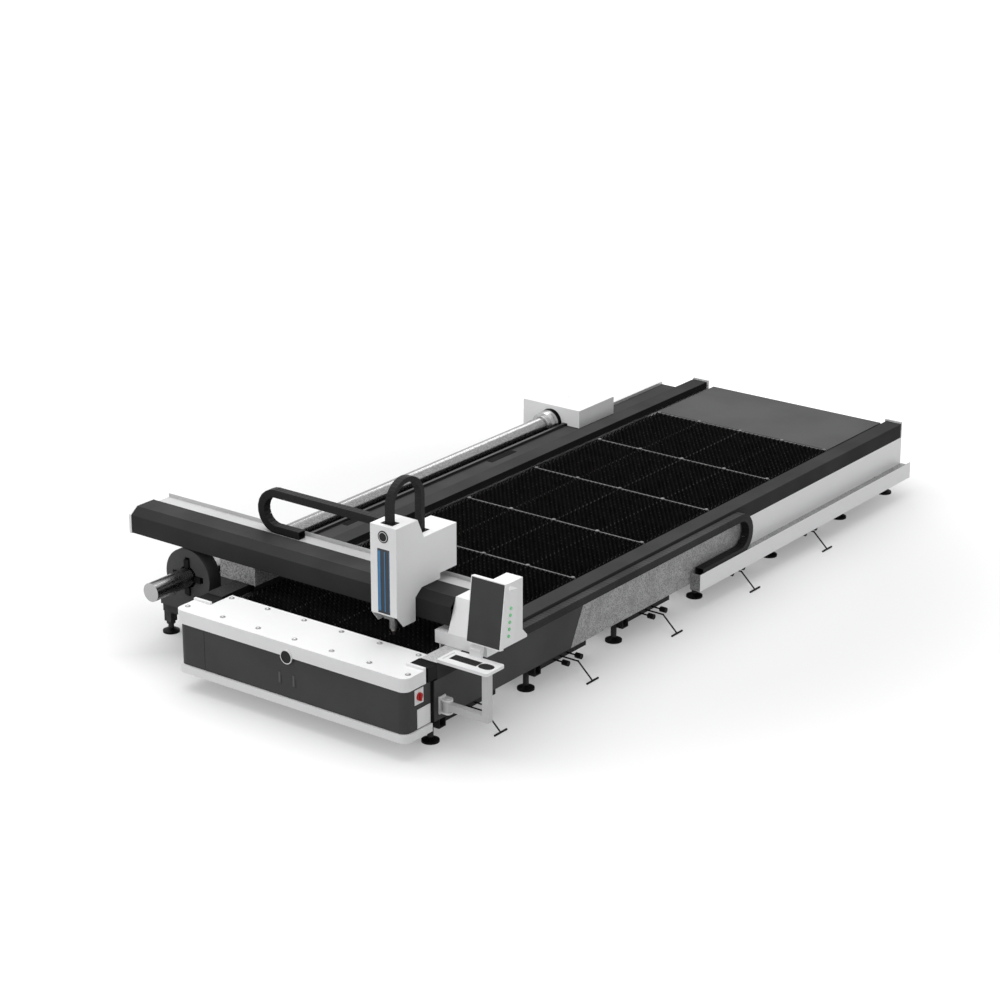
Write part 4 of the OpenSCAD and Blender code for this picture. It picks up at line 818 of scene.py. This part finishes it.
half = wide_chain["height"] / 2
low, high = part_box("side_chain")
radius = (high.z - low.z) / 2 - half
middle_x = (low.x + high.x) / 2
drag_chain("side_chain", Vector((middle_x, high.y - radius - half, low.z + half + radius)),
           radius, -Z, Y, Vector((middle_x, SIDE_START_Y, low.z + half)),
           Vector((middle_x, low.y, high.z - half)), wide_chain)

low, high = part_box("beam_chain")
radius = (high.z - low.z) / 2 - half
middle_y = (low.y + high.y) / 2
drag_chain("beam_chain", Vector((low.x + radius + half, middle_y, low.z + half + radius)),
           radius, -Z, -X, Vector((BEAM_START_X, middle_y, low.z + half)),
           Vector((high.x, middle_y, high.z - half)), wide_chain)

half = slim_chain["height"] / 2
low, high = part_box("head_chain")
radius = (high.y - low.y) / 2 - half
middle_x, middle_y = (low.x + high.x) / 2, (low.y + high.y) / 2
drag_chain("head_chain", Vector((middle_x, middle_y, high.z - half - radius)),
           radius, Y, Z, Vector((middle_x, high.y - half, low.z)),
           Vector((middle_x, low.y + half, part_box("cutting_head")[1].z)), slim_chain)


# %% [markdown]
# The head chain goes down into two openings in the head's top. A dark rubber rim lies round each of them.

# %% Rims round the openings of the head chain
def face_from(name, start, way):
    """The point where a ray from outside meets a solid."""
    solid = solids[name]
    back = solid.matrix_world.inverted()
    spot = solid.ray_cast(back @ start, (back.to_3x3() @ way).normalized())[1]
    return solid.matrix_world @ spot


def rim(shape, at, hole, wide, thick, edge):
    """A flat rim with a cut upper edge round an oblong hole: hole and wide are half sizes."""
    top = (wide[0] - edge, wide[1] - edge)
    loops = [(hole, 0.0), (wide, 0.0), (wide, thick - edge), (top, thick), (hole, thick)]
    rings = [[shape.verts.new(at + Vector((x * half_size[0], y * half_size[1], lift)))
              for x, y in ((1, 1), (-1, 1), (-1, -1), (1, -1))] for half_size, lift in loops]
    skin_over(shape, rings + rings[:1], ends=False)


ON_THE_TOP = 0.055
shape = bmesh.new()
for foot_y in (low.y + half, high.y - half):
    seat = face_from("head_housing", Vector((middle_x + ON_THE_TOP, foot_y, solid_high.z + 1.0)), -Z)
    rim(shape, Vector((middle_x, foot_y, seat.z)), hole=(0.041, 0.028), wide=(0.062, 0.046),
        thick=0.003, edge=0.001)
    print("rim at", [round(v, 3) for v in seat])
piece("head_chain_rims", shape, black_iron, "head")


# %% [markdown]
# ## Head window
# The dark window in the head's front shows the lift inside. A blue strip runs down its left edge, a narrow one
# down the middle, and a thin one on the right. They are strips of film on the pane, with their edges rounded
# over.

# %% Blue strips on the window
def strip(shape, low, high, edge):
    """An upright strip on the -Y face of something, with its front edges cut off."""
    outline = [(low.x, high.y), (high.x, high.y), (high.x, low.y + edge), (high.x - edge, low.y),
               (low.x + edge, low.y), (low.x, low.y + edge)]
    skin_over(shape, [[shape.verts.new((x, y, z)) for x, y in outline] for z in (low.z, high.z)])


FILM_THICK, FILM_MARGIN = 0.002, 0.02
film_shares = ((0.03, 0.24), (0.55, 0.63), (0.93, 0.97))
low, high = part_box("head_window")
wide = high.x - low.x
shape = bmesh.new()
for left, right in film_shares:
    strip(shape, Vector((low.x + left * wide, low.y - FILM_THICK, low.z + FILM_MARGIN)),
          Vector((low.x + right * wide, low.y, high.z - FILM_MARGIN)), edge=0.0008)
piece("window_film", shape, film_blue, "head")
print("window:", round(wide, 3), "m wide,", round(high.z - low.z, 3), "m high")


# %% [markdown]
# Two small upright catches hold the panel of the front box. They are plain pressed strips.

# %% Catches on the front panel
CATCH_HALF, CATCH_THICK = 0.011, 0.004
CATCH_LOW, CATCH_HIGH = 0.352, 0.448
catch_grey = painted("catch_grey", grey(0.13), grey(0.1), (0.4, 0.55))
shape = bmesh.new()
for x in (0.268, 0.42):
    seat = face_from("front_box", Vector((x, solid_low.y - 1.0, (CATCH_LOW + CATCH_HIGH) / 2)), Y)
    strip(shape, Vector((x - CATCH_HALF, seat.y - CATCH_THICK, CATCH_LOW)),
          Vector((x + CATCH_HALF, seat.y, CATCH_HIGH)), edge=0.002)
piece("panel_catches", shape, catch_grey, "bed")
print("catches on the panel at", round(seat.y, 3))


# %% [markdown]
# ## Small round pieces
# A plain cap closes the round hole near the top of the head's front: a dark flange, a pale ring and a dark lid.
# Far down the right wall a rubber ring lines the hole where the cables go into the bed.

# %% Cap on the head and cable hole in the wall
def turned(shape, at, along, up, out, profile, oval=1.0, corners=40):
    """A turned piece: profile is a list of radius and height above the face that it sits on."""
    turn = [2 * math.pi * k / corners for k in range(corners)]
    circle = [along * (oval * math.cos(a)) + up * math.sin(a) for a in turn]
    skin_over(shape, [[shape.verts.new(at + way * r + out * lift) for way in circle] for r, lift in profile])


cap_at = face_from("head_housing", Vector((0.9855, solid_low.y - 1.0, 1.64)), Y)
cap_layers = {
    "head_cap_flange": ([(0.052, 0.0), (0.052, 0.003), (0.050, 0.004), (0.040, 0.004)],
                        boss_plain, "black_paint"),
    "head_cap_ring": ([(0.042, 0.004), (0.042, 0.005), (0.036, 0.005)], cover_white, "white_paint"),
    "head_cap": ([(0.037, 0.005), (0.037, 0.006), (0.035, 0.0065)], boss_plain, "black_paint"),
}
for name, (profile, cloth, slot) in cap_layers.items():
    shape = bmesh.new()
    turned(shape, cap_at, X, Z, -Y, profile)
    piece(name, shape, cloth, "head")
hole_at = face_from("rear_side_panels", Vector((solid_high.x + 1.0, 3.455, 0.301)), -X)
hole_profile = [(0.017, 0.0), (0.017, 0.002), (0.015, 0.004), (0.011, 0.004), (0.010, 0.001)]
shape = bmesh.new()
turned(shape, hole_at, Y, Z, X, hole_profile, oval=1.7)
piece("cable_hole", shape, black_iron, "bed")
print("cap on the head at", [round(v, 3) for v in cap_at], "cable hole at", [round(v, 3) for v in hole_at])
